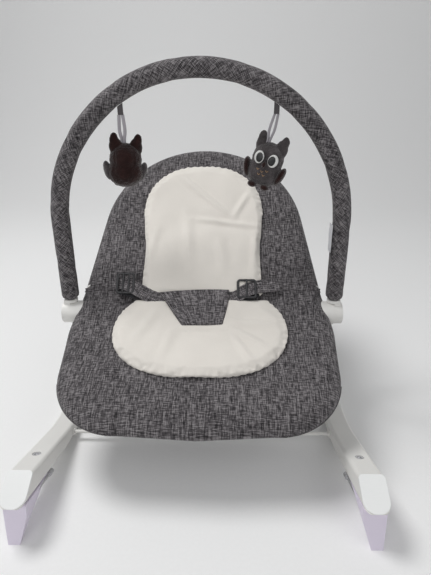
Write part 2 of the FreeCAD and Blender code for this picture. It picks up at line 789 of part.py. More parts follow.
back_edge = side_and_arch(
    size("back_tube_half") + margin, size("back_cover_start"),
    size("back_arch_centre"), size("back_arch") + margin,
)
back_edge.append(Part.LineSegment(back_edge[-1].EndPoint, back_edge[0].StartPoint))
back_slab = slab("back_cover_slab", back_edge, "@cover_thick", "@cover_round", BACK, -THICK / 2)
back_tools = [back_tube("back_channel", CHANNEL)] + hub_tools("back_cover", BACK, 1)
keep(cut("back_cover_cut", back_slab, back_tools), "back_cover")

PAD_LIFT = THICK / 2 + size("cover_gap")
half = size("seat_pad_half")
seat_pad_edge = rounded(mirrored([
    Vector(-half + 16, -4, 0),
    Vector(-half - 3, -62, 0),
    Vector(-half + 12, -size("seat_pad_front"), 0),
]), [6, 60, 72, 72, 60, 6], True)
seat_pad = slab("seat_pad_slab", seat_pad_edge, "@pad_thick", "@pad_round", SEAT, PAD_LIFT, False)
keep(seat_pad, "seat_insert")
half = size("back_pad_half")
arch_middle = size("back_pad_top") - half
back_pad_edge = rounded(mirrored([
    Vector(-half, arch_middle, 0),
    Vector(-half, size("back_pad_start"), 0),
]), [0] * 4)
back_pad_edge.append(Part.Arc(
    Vector(half, arch_middle, 0), Vector(0, arch_middle + half, 0), Vector(-half, arch_middle, 0)
))
back_pad = slab("back_pad_slab", back_pad_edge, "@pad_thick", "@pad_round", BACK, PAD_LIFT, False)
keep(back_pad, "back_insert")


# ---------------------------------------------------------------- harness
HARNESS_LIFT = PAD_LIFT + size("pad_thick") + size("cover_gap")
crotch_edge = rounded(mirrored([
    Vector(-size("crotch_top") / 2, 16.0, 0),
    Vector(-size("crotch_low") / 2, 16.0 - size("crotch_long"), 0),
]), [0] * 4, True)
crotch = slab("crotch_slab", crotch_edge, "@crotch_thick", "1.5", SEAT, HARNESS_LIFT, False)
keep(crotch, "crotch_piece")
STRAP_START = size("crotch_top") / 2 + 0.3
STRAP_LONG = 88.0
SLIDER_AT = (62.0, 20.0)
for (side_name, side), slider_at in zip(SIDES, reversed(SLIDER_AT)):
    start = side * (STRAP_START + STRAP_LONG / 2) - STRAP_LONG / 2
    strap = box(
        f"strap_box_{side_name}", f"{STRAP_LONG}", "@strap_width", "@strap_thick",
        shifted(SEAT, start, 13.0 - size("strap_width"), HARNESS_LIFT),
    )
    keep(strap, f"waist_strap_{side_name}")
    middle = side * (STRAP_START + slider_at)
    ring = box(
        f"slider_box_{side_name}", "20", "@strap_width + 8", "@strap_thick + 3.4",
        shifted(SEAT, middle - 10, 13.0 - size("strap_width") - 4, HARNESS_LIFT),
    )
    slot = box(
        f"slider_slot_{side_name}", "40", "@strap_width + 0.6", "@strap_thick + 0.3",
        shifted(SEAT, middle - 20, 13.0 - size("strap_width") - 0.3, HARNESS_LIFT),
    )
    keep(cut(f"slider_cut_{side_name}", ring, [slot]), f"strap_slider_{side_name}")


# ---------------------------------------------------------------- hanging toys
bar_inner = size("bar_half") - size("bar_sleeve_d") / 2
reach = size("toy_reach")
arch_height = size("bar_leg") + math.sqrt(bar_inner ** 2 - reach ** 2)
TOY_GAP = 0.3
for side_name, side in SIDES:
    hang = BAR.multVec(Vector(side * reach, 0, arch_height))
    hang.z -= size("tab_drop")
    tab = box(
        f"tab_box_{side_name}", "@tab_width", "@tab_thick", "@tab_drop + 12",
        Placement(hang - Vector(size("tab_width") / 2, size("tab_thick") / 2, 0), Rotation()),
    )
    clear = bar_tube(f"tab_clear_{side_name}", tube_start, "@bar_sleeve_d / 2 + 0.1")
    trimmed = cut(f"tab_cut_{side_name}", tab, [clear])
    # the tab ends in a round nose on the toy's swing axis, and the ribbon cups it
    nose_start = hang - X_AXIS * (size("tab_width") / 2)
    nose_place = along(X_AXIS, nose_start)
    nose = cylinder(f"tab_nose_{side_name}", "@tab_thick / 2", "@tab_width", nose_place)
    keep(fuse(f"tab_fuse_{side_name}", [trimmed, nose]), f"toy_tab_{side_name}")
    low = hang.z - size("ribbon_drop")
    strip = box(
        f"ribbon_box_{side_name}", "@ribbon_width", "@ribbon_thick", "@ribbon_drop",
        Placement(
            Vector(hang.x - size("ribbon_width") / 2, hang.y - size("ribbon_thick") / 2, low),
            Rotation(),
        ),
    )
    cup = cylinder(
        f"ribbon_cup_{side_name}", "@tab_thick / 2 + @running_gap", "@tab_width", nose_place
    )
    keep(cut(f"ribbon_cut_{side_name}", strip, [cup]), f"toy_ribbon_{side_name}")
    round_half = size("owl_width") / 2
    head = Vector(hang.x, hang.y, low - TOY_GAP - round_half)
    belly = head - Z_AXIS * (size("owl_height") - size("owl_width"))
    owl = [
        ball(f"owl_head_{side_name}", "@owl_width / 2", head),
        ball(f"owl_belly_{side_name}", "@owl_width / 2", belly),
        cylinder(
            f"owl_trunk_{side_name}", "@owl_width / 2", "@owl_height - @owl_width",
            Placement(belly, Rotation()),
        ),
    ]
    for tag, lean in (("in", -1), ("out", 1)):
        ear = doc.addObject("Part::Cone", f"owl_ear_{tag}_{side_name}")
        bind(ear, Radius1="@owl_width / 6", Radius2="@owl_width / 14", Height="@owl_ear")
        ear.Placement = Placement(
            head + Vector(lean * round_half * 0.55, 0, round_half * 0.6), Rotation(Y_AXIS, lean * 18)
        )
        wing_spot = belly + Vector(lean * round_half, 0, round_half * 0.2)
        owl += [ear, ball(f"owl_wing_{tag}_{side_name}", "@owl_width / 6", wing_spot)]
    keep(fuse(f"owl_fuse_{side_name}", owl), f"plush_owl_{side_name}")

label_spot = Vector(
    bar_inner - 0.3 - size("label_thick"), -size("label_wide") / 2, size("bar_leg") - size("label_long")
)
label = box(
    "label_box", "@label_thick", "@label_wide", "@label_long",
    BAR.multiply(Placement(label_spot, Rotation())),
)
keep(label, "care_label")


# ---------------------------------------------------------------- check and export
doc.recompute()
failed = [o.Name for o in doc.Objects if {"Invalid", "Error"} & set(o.State)]
assert not failed, f"failed objects: {failed}"
os.makedirs("parts", exist_ok=True)
for thing in nodes:
    shape = thing.Shape
    assert not shape.isNull() and shape.isValid(), f"{thing.Label} has no valid shape"
    assert shape.Solids, f"{thing.Label} has no solid"
    shape.exportStep(f"parts/{thing.Label}.step")
    print(f"{thing.Label}: {len(shape.Solids)} solids, {shape.Volume / 1000:.1f} cm3")
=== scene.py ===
"""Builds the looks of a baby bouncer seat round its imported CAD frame."""

import json
import math
import random

import bmesh
import bpy
from bpy.props import FloatProperty, FloatVectorProperty, IntProperty, PointerProperty
from mathutils import Matrix, Vector, noise

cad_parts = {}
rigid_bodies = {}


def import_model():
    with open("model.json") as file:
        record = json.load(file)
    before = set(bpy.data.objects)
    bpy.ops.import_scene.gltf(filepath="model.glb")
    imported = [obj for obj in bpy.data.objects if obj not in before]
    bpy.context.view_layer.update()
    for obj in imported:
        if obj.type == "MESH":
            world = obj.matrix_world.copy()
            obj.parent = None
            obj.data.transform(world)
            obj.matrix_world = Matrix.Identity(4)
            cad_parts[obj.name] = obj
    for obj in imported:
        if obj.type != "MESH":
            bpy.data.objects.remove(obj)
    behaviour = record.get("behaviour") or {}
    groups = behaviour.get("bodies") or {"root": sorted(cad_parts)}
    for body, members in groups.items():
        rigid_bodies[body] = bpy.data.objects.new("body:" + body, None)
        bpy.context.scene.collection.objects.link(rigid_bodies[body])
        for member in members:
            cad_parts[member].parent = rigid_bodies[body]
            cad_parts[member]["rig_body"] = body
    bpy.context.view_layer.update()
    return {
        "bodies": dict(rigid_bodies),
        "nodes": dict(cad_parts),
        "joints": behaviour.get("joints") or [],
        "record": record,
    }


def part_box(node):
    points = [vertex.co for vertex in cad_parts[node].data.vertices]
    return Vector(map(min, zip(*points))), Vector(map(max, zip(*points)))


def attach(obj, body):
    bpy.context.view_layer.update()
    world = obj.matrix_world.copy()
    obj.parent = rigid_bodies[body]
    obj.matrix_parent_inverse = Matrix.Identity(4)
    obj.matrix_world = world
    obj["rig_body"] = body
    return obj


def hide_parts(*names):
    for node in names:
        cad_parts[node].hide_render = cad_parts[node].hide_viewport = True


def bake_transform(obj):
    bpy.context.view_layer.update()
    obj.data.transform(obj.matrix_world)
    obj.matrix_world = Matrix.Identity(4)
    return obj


bl_info = {
    "name": "Bouncer Seat",
    "version": (1, 0, 0),
    "blender": (4, 5, 0),
    "location": "View3D > Sidebar > Bouncer",
    "description": "Covers, pads, harness, toys and finishes of a baby bouncer seat",
    "category": "Object",
}

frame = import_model()
NODES = frame["nodes"]
JOINTS = {joint["name"]: joint for joint in frame["record"]["behaviour"]["joints"]}

# ------------------------------------------------------------------ places taken from the frame
HUB = Vector(JOINTS["back_recline"]["pos_m"])
SEAT_SLOPE = math.radians(18.3)
BACK_SLOPE = math.radians(42.0)
BAR_LEAN = math.radians(6.0)


def tilted(angle):
    """A frame at the hub axis whose Y rises by an angle."""
    return Matrix.Translation(HUB) @ Matrix.Rotation(angle, 4, "X")


SEAT = tilted(SEAT_SLOPE)
BACK = tilted(BACK_SLOPE)
BAR = tilted(-BAR_LEAN)


# ------------------------------------------------------------------ settings
class BouncerSizes(bpy.types.PropertyGroup):
    """Sizes that a user would change."""

    cover_half_thick: FloatProperty(
        name="Cover half thickness", description="Half the thickness of the seat cover",
        default=0.0155, min=0.008, max=0.03, unit="LENGTH")
    pad_thick: FloatProperty(
        name="Pad thickness", description="Thickness of the insert pads before they swell",
        default=0.0085, min=0.003, max=0.02, unit="LENGTH")
    sleeve_radius: FloatProperty(
        name="Sleeve radius", description="Radius of the toy bar's padded sleeve",
        default=0.0143, min=0.01, max=0.02, unit="LENGTH")
    pad_swell: FloatProperty(
        name="Pad swell", description="Furthest that a pad's point moves in the cloth simulation",
        default=0.005, min=0.0, max=0.02, unit="LENGTH")
    thread_pitch: FloatProperty(
        name="Thread pitch", description="Distance between threads of the grey weave",
        default=0.0011, min=0.0004, max=0.003, unit="LENGTH")
    sim_frames: IntProperty(
        name="Simulation frames", description="Last frame of each cloth simulation",
        default=20, min=2, max=60)


def colour(name, description, value):
    return FloatVectorProperty(
        name=name, description=description, default=value, size=3, min=0.0, max=1.0, subtype="COLOR")


class BouncerColours(bpy.types.PropertyGroup):
    """Colours that a user would change."""

    thread_dark: colour("Dark thread", "Darkest threads of the grey weave", (0.018, 0.017, 0.018))
    thread_mid: colour("Middle thread", "Most threads of the grey weave", (0.075, 0.068, 0.072))
    thread_light: colour("Light thread", "Palest threads of the grey weave", (0.26, 0.245, 0.25))
    velour: colour("Velour", "Pile of the insert pads", (0.80, 0.76, 0.70))
    moulding: colour("Moulding", "Plastic of the runners and hubs", (0.80, 0.79, 0.76))
    cap: colour("Cap", "Plastic of the end caps and buttons", (0.88, 0.89, 0.88))
    foot: colour("Stop foot", "Plastic of the stop feet", (0.76, 0.70, 0.82))
    webbing: colour("Webbing", "Black webbing and sliders", (0.012, 0.012, 0.014))
    plush_grey: colour("Grey plush", "Grey fur of the toys", (0.075, 0.066, 0.068))
    plush_brown: colour("Brown plush", "Brown fur of the toys", (0.022, 0.0085, 0.0075))
    ribbon: colour("Ribbon", "Loops that the toys hang from", (0.42, 0.40, 0.43))
    backdrop: colour("Backdrop", "Floor and backdrop", (0.92, 0.92, 0.915))


def sizes():
    return bpy.context.scene.bouncer_sizes


def colours():
    return bpy.context.scene.bouncer_colours


# ------------------------------------------------------------------ material helpers
class Nodes:
    """Short calls that add nodes to a new material."""

    def __init__(self, name):
        self.material = bpy.data.materials.new(name)
        self.material.use_nodes = True
        self.tree = self.material.node_tree
        self.shader = self.tree.nodes["Principled BSDF"]

    def add(self, kind, **values):
        node = self.tree.nodes.new(kind)
        for key, value in values.items():
            if key in node.inputs:
                node.inputs[key].default_value = value
            else:
                setattr(node, key, value)
        return node

    def link(self, output, socket):
        self.tree.links.new(output, socket)

    def place(self, uv=False):
        """Object or UV coordinates."""
        return self.add("ShaderNodeTexCoord").outputs["UV" if uv else "Object"]

    def stretch(self, coordinates, scale, turn=0.0):
        mapping = self.add("ShaderNodeMapping")
        mapping.inputs["Scale"].default_value = scale
        mapping.inputs["Rotation"].default_value = (0, 0, turn)
        self.link(coordinates, mapping.inputs["Vector"])
        return mapping.outputs["Vector"]

    def noise(self, coordinates, scale, detail=2.0, roughness=0.5):
        made = self.add("ShaderNodeTexNoise")
        made.inputs["Scale"].default_value = scale
        made.inputs["Detail"].default_value = detail
        made.inputs["Roughness"].default_value = roughness
        self.link(coordinates, made.inputs["Vector"])
        return made.outputs["Fac"]

    def wave(self, coordinates, scale, distortion=0.0, direction="X"):
        made = self.add("ShaderNodeTexWave", bands_direction=direction)
        made.inputs["Scale"].default_value = scale
        made.inputs["Distortion"].default_value = distortion
        self.link(coordinates, made.inputs["Vector"])
        return made.outputs["Fac"]

    def sums(self, operation, a, b):
        made = self.add("ShaderNodeMath", operation=operation)
        for socket, value in zip(made.inputs, (a, b)):
            if isinstance(value, (int, float)):
                socket.default_value = value
            else:
                self.link(value, socket)
        return made.outputs[0]

    def ramp(self, factor, stops):
        made = self.add("ShaderNodeValToRGB")
        ramp = made.color_ramp
        while len(ramp.elements) < len(stops):
            ramp.elements.new(0.5)
        for element, (position, value) in zip(ramp.elements, stops):
            element.position = position
            element.color = (*value, 1.0) if not isinstance(value, float) else (value,) * 3 + (1.0,)
        self.link(factor, made.inputs[0])
        return made.outputs[0]

    def bump(self, height, distance, strength=1.0):
        made = self.add("ShaderNodeBump")
        made.inputs["Distance"].default_value = distance
        made.inputs["Strength"].default_value = strength
        self.link(height, made.inputs["Height"])
        self.link(made.outputs[0], self.shader.inputs["Normal"])

    def set(self, **values):
        for key, value in values.items():
            self.shader.inputs[key.replace("_", " ")].default_value = value

    def paint(self, output):
        self.link(output, self.shader.inputs["Base Color"])

    def rough(self, output):
        self.link(output, self.shader.inputs["Roughness"])


def shade(base, factor):
    return tuple(min(1.0, part * factor) for part in base)


def weave(name, turn=0.0, lighten=1.0):
    """Grey mottled plain weave, its threads along and across the UV axes, which are in metres."""
    made = Nodes(name)
    tone = colours()
    spot = made.stretch(made.place(uv=True), (1, 1, 1), turn)
    warp = made.noise(made.stretch(spot, (760, 85, 1)), 1.0, 2.5, 0.6)
    weft = made.noise(made.stretch(spot, (85, 760, 1)), 1.0, 2.5, 0.6)
    slub = made.noise(made.stretch(spot, (330, 26, 1)), 1.0, 1.0)
    both = made.sums("ADD", warp, weft)
    mixed = made.sums("ADD", made.sums("MULTIPLY", both, 0.42), made.sums("MULTIPLY", slub, 0.16))
    cloud = made.sums("MULTIPLY", made.noise(spot, 14.0, 2.0), 0.04)
    made.paint(made.ramp(made.sums("ADD", mixed, cloud), (
        (0.425, shade(tone.thread_dark, lighten)),
        (0.51, shade(tone.thread_mid, lighten)),
        (0.60, shade(tone.thread_light, lighten)),
    )))
    pitch = sizes().thread_pitch
    rows = made.wave(spot, 0.314 / pitch / 2, 0.6, "X")
    picks = made.wave(spot, 0.314 / pitch / 2, 0.6, "Y")
    made.bump(made.sums("ADD", made.sums("MULTIPLY", rows, picks), mixed), 0.0006, 0.55)
    made.set(Roughness=0.92, Sheen_Weight=0.12, Sheen_Roughness=0.5, Specular_IOR_Level=0.2)
    return made.material


def velour(name):
    """Cream pile with soft brushed patches."""
    made = Nodes(name)
    base = colours().velour
    spot = made.place()
    brushed = made.noise(spot, 22.0, 3.0, 0.55)
    pile = made.noise(spot, 1500.0, 2.0)
    made.paint(made.ramp(made.sums("ADD", made.sums("MULTIPLY", brushed, 0.5), made.sums("MULTIPLY", pile, 0.5)), (
        (0.30, shade(base, 0.95)),
        (0.52, tuple(base)),
        (0.75, shade(base, 1.04)),
    )))
    made.bump(made.sums("ADD", pile, made.sums("MULTIPLY", brushed, 2.0)), 0.0008, 0.5)
    made.set(Roughness=0.95, Sheen_Weight=0.35, Sheen_Roughness=0.6, Specular_IOR_Level=0.15)
    return made.material


def plush(name, base):
    made = Nodes(name)
    spot = made.place()
    fur = made.noise(spot, 900.0, 4.0, 0.7)
    nap = made.noise(spot, 90.0, 3.0)
    made.paint(made.ramp(made.sums("ADD", made.sums("MULTIPLY", fur, 0.5), made.sums("MULTIPLY", nap, 0.5)), (
        (0.36, shade(base, 0.55)),
        (0.52, tuple(base)),
        (0.70, shade(base, 1.9)),
    )))
    made.bump(made.sums("ADD", fur, nap), 0.0012, 0.7)
    made.set(Roughness=1.0, Sheen_Weight=0.5, Sheen_Roughness=0.45, Specular_IOR_Level=0.1)
    return made.material


def moulded(name, base, roughness, texture=0.00012, scuffs=0.12):
    """Moulded plastic or powder coat: fine orange peel, faint scuffs and dust in the roughness."""
    made = Nodes(name)
    spot = made.place()
    peel = made.noise(spot, 800.0, 2.0)
    cloud = made.noise(spot, 9.0, 3.0)
    scratch = made.noise(made.stretch(spot, (60, 900, 60)), 1.0, 3.0, 0.7)
    made.paint(made.ramp(made.sums("ADD", made.sums("MULTIPLY", cloud, 0.7), made.sums("MULTIPLY", scratch, 0.3)), (
        (0.30, shade(base, 0.965)),
        (0.55, tuple(base)),
        (0.80, shade(base, 1.015)),
    )))
    made.rough(made.ramp(made.sums("ADD", made.sums("MULTIPLY", scratch, 0.6), made.sums("MULTIPLY", cloud, 0.4)), (
        (0.35, roughness),
        (0.70, min(1.0, roughness + scuffs)),
    )))
    made.bump(peel, texture, 0.6)
    return made.material


def metal(name, base, roughness):
    made = Nodes(name)
    spot = made.place()
    grain = made.noise(made.stretch(spot, (300, 300, 4000)), 1.0, 3.0)
    made.paint(made.ramp(grain, ((0.3, shade(base, 0.85)), (0.7, shade(base, 1.1)))))
    made.rough(made.ramp(grain, ((0.3, roughness), (0.7, roughness + 0.15))))
    made.bump(grain, 0.00005, 0.5)
    made.set(Metallic=1.0)
    return made.material


MATERIALS = {}


def make_materials():
    tone = colours()
    MATERIALS.update(
        weave=weave("grey_weave"),
        bias=weave("grey_bias_weave", math.radians(45)),
        strap=weave("harness_weave", 0.0, 1.2),
        velour=velour("cream_velour"),
        moulding=moulded("runner_plastic", tone.moulding, 0.38),
        cap=moulded("cap_plastic", tone.cap, 0.30),
        foot=moulded("foot_plastic", tone.foot, 0.36),
        paint=moulded("white_powder_coat", tone.moulding, 0.42, 0.0002),
        black=moulded("black_plastic", tone.webbing, 0.45, 0.0001, 0.2),
        webbing=moulded("black_webbing", tone.webbing, 0.8, 0.0008, 0.1),
        chrome=metal("screw_chrome", (0.62, 0.62, 0.63), 0.16),
        steel=metal("plated_steel", (0.5, 0.5, 0.51), 0.3),
        plush_grey=plush("plush_grey", tone.plush_grey),
        plush_brown=plush("plush_brown", tone.plush_brown),
        ribbon=moulded("ribbon_grosgrain", tone.ribbon, 0.8, 0.0004),
        label=moulded("label_satin", (0.78, 0.79, 0.82), 0.35, 0.0002),
        eye_white=moulded("eye_white", (0.78, 0.78, 0.76), 0.6),
        eye_black=moulded("eye_black", (0.006, 0.006, 0.007), 0.35),
        thread=moulded("tan_thread", (0.42, 0.27, 0.15), 0.8, 0.0004),
        dark_thread=moulded("dark_thread", (0.02, 0.02, 0.022), 0.8, 0.0003),
    )


# ------------------------------------------------------------------ mesh helpers
def finish_piece(piece, body, slot, material, smooth=True):
    """Material, shading and body of a new piece."""
    piece.data.materials.clear()
    piece.data.materials.append(MATERIALS[material])
    if smooth and piece.type == "MESH":
        piece.data.shade_smooth()
    if body:
        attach(piece, body)
    return piece


def mesh_piece(name, points, faces, uvs=None):
    """A new mesh object; uvs holds one UV in metres for each point."""
    mesh = bpy.data.meshes.new(name)
    mesh.from_pydata([tuple(p) for p in points], [], faces)
    if uvs:
        layer = mesh.uv_layers.new(name="weave")
        for loop in mesh.loops:
            layer.data[loop.index].uv = uvs[loop.vertex_index]
    mesh.validate()
    mesh.update()
    piece = bpy.data.objects.new(name, mesh)
    bpy.context.scene.collection.objects.link(piece)
    return piece


def tube_mesh(name, path, radius, sides=12, closed=False, flat=1.0, normal=None, caps=True):
    """A tube along points; radius is a number or a function of (share along, angle)."""
    count = len(path)
    rings = []
    uvs = []
    side = normal.normalized() if normal else Vector((0, 0, 1))
    length = 0.0
    for i, point in enumerate(path):
        before = path[i - 1] if (i or closed) else point
        after = path[(i + 1) % count] if (i < count - 1 or closed) else point
        run = (after - before).normalized()
        if i:
            length += (point - path[i - 1]).length
        if not normal:
            if abs(run.dot(side)) > 0.9 and not rings:
                side = Vector((1, 0, 0))
            side = (side - run * side.dot(run)).normalized()
        out = run.cross(side).normalized()
        for k in range(sides):
            angle = 2 * math.pi * k / sides
            r = radius(i / (count - 1), angle) if callable(radius) else radius
            rings.append(point + (out * math.cos(angle) + side * math.sin(angle) * flat) * r)
            uvs.append((length, angle * 0.014))
    faces = []
    for i in range(count if closed else count - 1):
        for k in range(sides):
            a, b = i * sides + k, i * sides + (k + 1) % sides
            c, d = ((i + 1) % count) * sides + (k + 1) % sides, ((i + 1) % count) * sides + k
            faces.append((a, b, c, d))
    if caps and not closed:
        faces.append(tuple(reversed(range(sides))))
        faces.append(tuple(range((count - 1) * sides, count * sides)))
    return mesh_piece(name, rings, faces, uvs)


def smooth_path(points, steps=8, closed=False):
    """A Catmull-Rom curve through the points."""
    count = len(points)
    spots = []
    for i in range(count if closed else count - 1):
        if closed:
            a, b, c, d = (points[(i + j - 1) % count] for j in range(4))
        else:
            a, b, c, d = (points[min(max(i + j - 1, 0), count - 1)] for j in range(4))
        for step in range(steps):
            t = step / steps
            spots.append(0.5 * (
                2 * b + (c - a) * t + (2 * a - 5 * b + 4 * c - d) * t ** 2
                + (3 * b - a - 3 * c + d) * t ** 3
            ))
    if not closed:
        spots.append(points[-1])
    return spots


def ramp_between(value, low, high):
    """0 below low, 1 above high, smooth between."""
    share = min(max((value - low) / (high - low), 0.0), 1.0)
    return share * share * (3 - 2 * share)


# ------------------------------------------------------------------ the seat's own surface
FOLD = 0.022
COVER_FRONT = -0.227
COVER_HALF = 0.217
COVER_CORNER = 0.101
SEAM = 0.041
BACK_START = 0.033
ARCH_MIDDLE = 0.154
ARCH_RADIUS = 0.183
ARCH_LEAN = math.radians(9.5)
PIPING_LIFT = -0.0015
ROLL = 0.036
BACK_ROLL = 0.024
BACK_PROUD = 0.003
FRONT_BOW = 0.006


def on_cover(x, s, n):
    """A point x across, s up from the hub axis along seat and back, and n off their plane."""
    if s <= -FOLD:
        return SEAT @ Vector((x, s, n))
    if s >= FOLD:
        return BACK @ Vector((x, s, n))
    t = (s + FOLD) / (2 * FOLD)
    low = SEAT @ Vector((x, -FOLD, 0))
    high = BACK @ Vector((x, FOLD, 0))
    corner = Vector((x, HUB.y, HUB.z))
    spot = low * (1 - t) ** 2 + corner * 2 * t * (1 - t) + high * t * t
    angle = SEAT_SLOPE + (BACK_SLOPE - SEAT_SLOPE) * t
    return spot + Vector((0, -math.sin(angle), math.cos(angle))) * n


def arc(x, y, radius, start, stop, steps):
    """Points of an arc, angles in degrees."""
    turns = [math.radians(start + (stop - start) * i / steps) for i in range(steps + 1)]
    return [(x + radius * math.cos(t), y + radius * math.sin(t)) for t in turns]


def dense(points, step):
    """The closed outline with points no further apart than a step."""
    spots = []
    for i, (x, y) in enumerate(points):
        x2, y2 = points[(i + 1) % len(points)]
        count = max(1, math.ceil(math.hypot(x2 - x, y2 - y) / step))
        spots += [(x + (x2 - x) * k / count, y + (y2 - y) * k / count) for k in range(count)]
    return spots


def both_sides(right):
    """A right-hand outline, bottom to top, with its mirror image."""
    return right + [(-x, y) for x, y in reversed(right) if abs(x) > 1e-6]


def pillow(name, outline, spine, thick, edge, rings, place, lowest=None, swell=None, low_edge=None):
    """A closed pad between an outline and a spine.

    thick(x, s) is half its thickness, edge the radius of its rolled edge, and lowest(x, s) the
    share of the thickness left at the outline, for an edge that is sewn to another piece.
    """
    (spine_x, s_low, s_high) = spine
    count = len(outline)
    points = []
    uvs = []
    for face in (1, -1):
        for distance in rings:
            for x0, s0 in outline:
                cx = min(max(x0, -spine_x), spine_x)
                cs = min(max(s0, s_low), s_high)
                reach = math.hypot(x0 - cx, s0 - cs)
                share = min(distance / reach, 1.0)
                x, s = x0 + (cx - x0) * share, s0 + (cs - s0) * share
                roll = edge if face > 0 else (low_edge or edge)
                inward = min(distance / roll, 1.0)
                floor = lowest(x0, s0) if lowest else 0.0
                height = thick(x, s) * (floor + (1 - floor) * math.sqrt(1 - (1 - inward) ** 2))
                lift = swell(x, s) if swell and face > 0 else 0.0
                points.append(place(x, s, face * height + lift * inward))
                slip = distance
                share = slip / reach
                uvs.append((x0 + (cx - x0) * share, s0 + (cs - s0) * share))
    faces = []
    layers = len(rings)
    for layer in range(layers - 1):
        for k in range(count):
            a, b = layer * count + k, layer * count + (k + 1) % count
            faces.append((a, b, b + count, a + count))
            low = layers * count
            faces.append((low + b, low + a, low + a + count, low + b + count))
    for k in range(count):
        a, b = k, (k + 1) % count
        faces.append((b, a, a + layers * count, b + layers * count))
    piece = mesh_piece(name, points, faces, uvs)
    build = bmesh.new()
    build.from_mesh(piece.data)
    bmesh.ops.remove_doubles(build, verts=build.verts, dist=0.00005)
    bmesh.ops.recalc_face_normals(build, faces=build.faces)
    build.to_mesh(piece.data)
    build.free()
    return piece


EDGE_RINGS = [0, 0.0004, 0.0012, 0.0026, 0.0045, 0.007, 0.010, 0.013, 0.0165]
WIDE_RINGS = EDGE_RINGS + [0.021, 0.027] + [0.034 + 0.009 * i for i in range(27)]


def wrinkle(x, s, scale, seed):
    return noise.noise(Vector((x * scale, s * scale, seed)))


def hub_bulge(x, s):
    """The cover stands out over the hubs."""
    return 0.0075 * math.exp(-(s / 0.024) ** 2) * ramp_between(abs(x), 0.160, 0.188)


def cover_thick(x, s):
    return sizes().cover_half_thick + hub_bulge(x, s) + 0.0006 * wrinkle(x, s, 22, 3.0)


def seam_floor(x, s):
    return 0.62 * ramp_between(s, SEAM - 0.004, SEAM - 0.0005) if s < SEAM + 0.0002 else 0.0


def back_floor(x, s):
    return 0.62 * (1 - ramp_between(s, BACK_START + 0.0005, BACK_START + 0.004))


def seat_swell(x, s):
    """A padded roll along the edge, a slack middle and faint drag lines from the corners."""
    middle = math.exp(-((x / 0.13) ** 2 + ((s + 0.07) / 0.08) ** 2))
    drag = 0.0016 * wrinkle(x * 0.6, s * 1.6, 30, 8.0)
    return 0.0050 * (1 - ramp_between(s, -0.02, SEAM)) - 0.0085 * middle + drag + 0.0010 * wrinkle(x, s, 70, 1.0)


def back_swell(x, s):
    middle = math.exp(-((x / 0.11) ** 2 + ((s - 0.17) / 0.11) ** 2))
    drag = 0.0015 * wrinkle(x * 1.7, s * 0.5, 30, 5.0)
    return 0.0045 * ramp_between(s, SEAM, 0.09) - 0.0080 * middle + drag + 0.0010 * wrinkle(x, s, 70, 2.0)


def side_at(s):
    """Half width of the cover between hub and arch."""
    touch = ARCH_RADIUS * math.cos(ARCH_LEAN)
    touch_s = ARCH_MIDDLE + ARCH_RADIUS * math.sin(ARCH_LEAN)
    return touch + (touch_s - s) * math.tan(ARCH_LEAN)


def smoothed(piece, levels=1):
    modifier = piece.modifiers.new("smooth", "SUBSURF")
    modifier.levels = levels
    modifier.render_levels = levels
    return piece


def make_seat_fabric():
    corner = arc(COVER_HALF - COVER_CORNER, COVER_FRONT + COVER_CORNER, COVER_CORNER, -90, 0, 22)
    right = [(0.0, COVER_FRONT - 0.0008)] + corner
    right = [(x, s - FRONT_BOW * math.cos(math.pi * x / 0.26) ** 2 * (s < -0.2)) if abs(x) < 0.13 else (x, s)
             for x, s in right]
    shoulder = [(COVER_HALF, -0.126), (0.2195, -0.08), (0.2215, -0.048), (0.2190, -0.020), (0.2140, 0.002)]
    shoulder += [(0.2115, 0.020), (0.2085, 0.034), (side_at(SEAM) + BACK_PROUD, SEAM)]
    right += [(p.x, p.y) for p in smooth_path([Vector((x, s, 0)) for x, s in shoulder], 5)][1:]
    outline = dense(both_sides(right), 0.0065)
    piece = pillow(
        "seat_fabric", outline, (0.11, -0.095, -0.095), cover_thick, ROLL, WIDE_RINGS, on_cover,
        seam_floor, seat_swell, 0.0155)
    finish_piece(smoothed(piece), None, "grey_fabric", "weave")
    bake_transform(piece)
    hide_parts("seat_cover")


def make_back_fabric():
    right = [(side_at(BACK_START) + BACK_PROUD, BACK_START), (side_at(0.06) + BACK_PROUD, 0.06), (side_at(0.12) + BACK_PROUD, 0.12)]
    right += arc(0, ARCH_MIDDLE, ARCH_RADIUS + BACK_PROUD, math.degrees(ARCH_LEAN), 90, 26)
    outline = dense(both_sides(right), 0.0065)
    piece = pillow(
        "back_fabric", outline, (0.0, 0.09, 0.154), cover_thick, BACK_ROLL, WIDE_RINGS, on_cover,
        back_floor, back_swell, 0.0155)
    finish_piece(smoothed(piece), "backrest", "grey_fabric", "weave")
    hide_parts("back_cover")


def make_front_piping():
    """The cord sewn along the front edge."""
    corner = arc(COVER_HALF - COVER_CORNER, COVER_FRONT + COVER_CORNER, COVER_CORNER, -90, -12, 20)
    half = [(0.0, COVER_FRONT)] + corner
    line = [(-x, s) for x, s in reversed(half) if x > 0] + half
    path = smooth_path([on_cover(x, s, PIPING_LIFT) for x, s in line], 4)
    piece = tube_mesh("front_piping", path, 0.0013, 8)
    finish_piece(piece, "base", "grey_fabric", "weave")


# ------------------------------------------------------------------ insert pads
PAD_BASE = 0.0158
ARCH_SQUARE = 0.84
CREASE_SCALE = 2.6


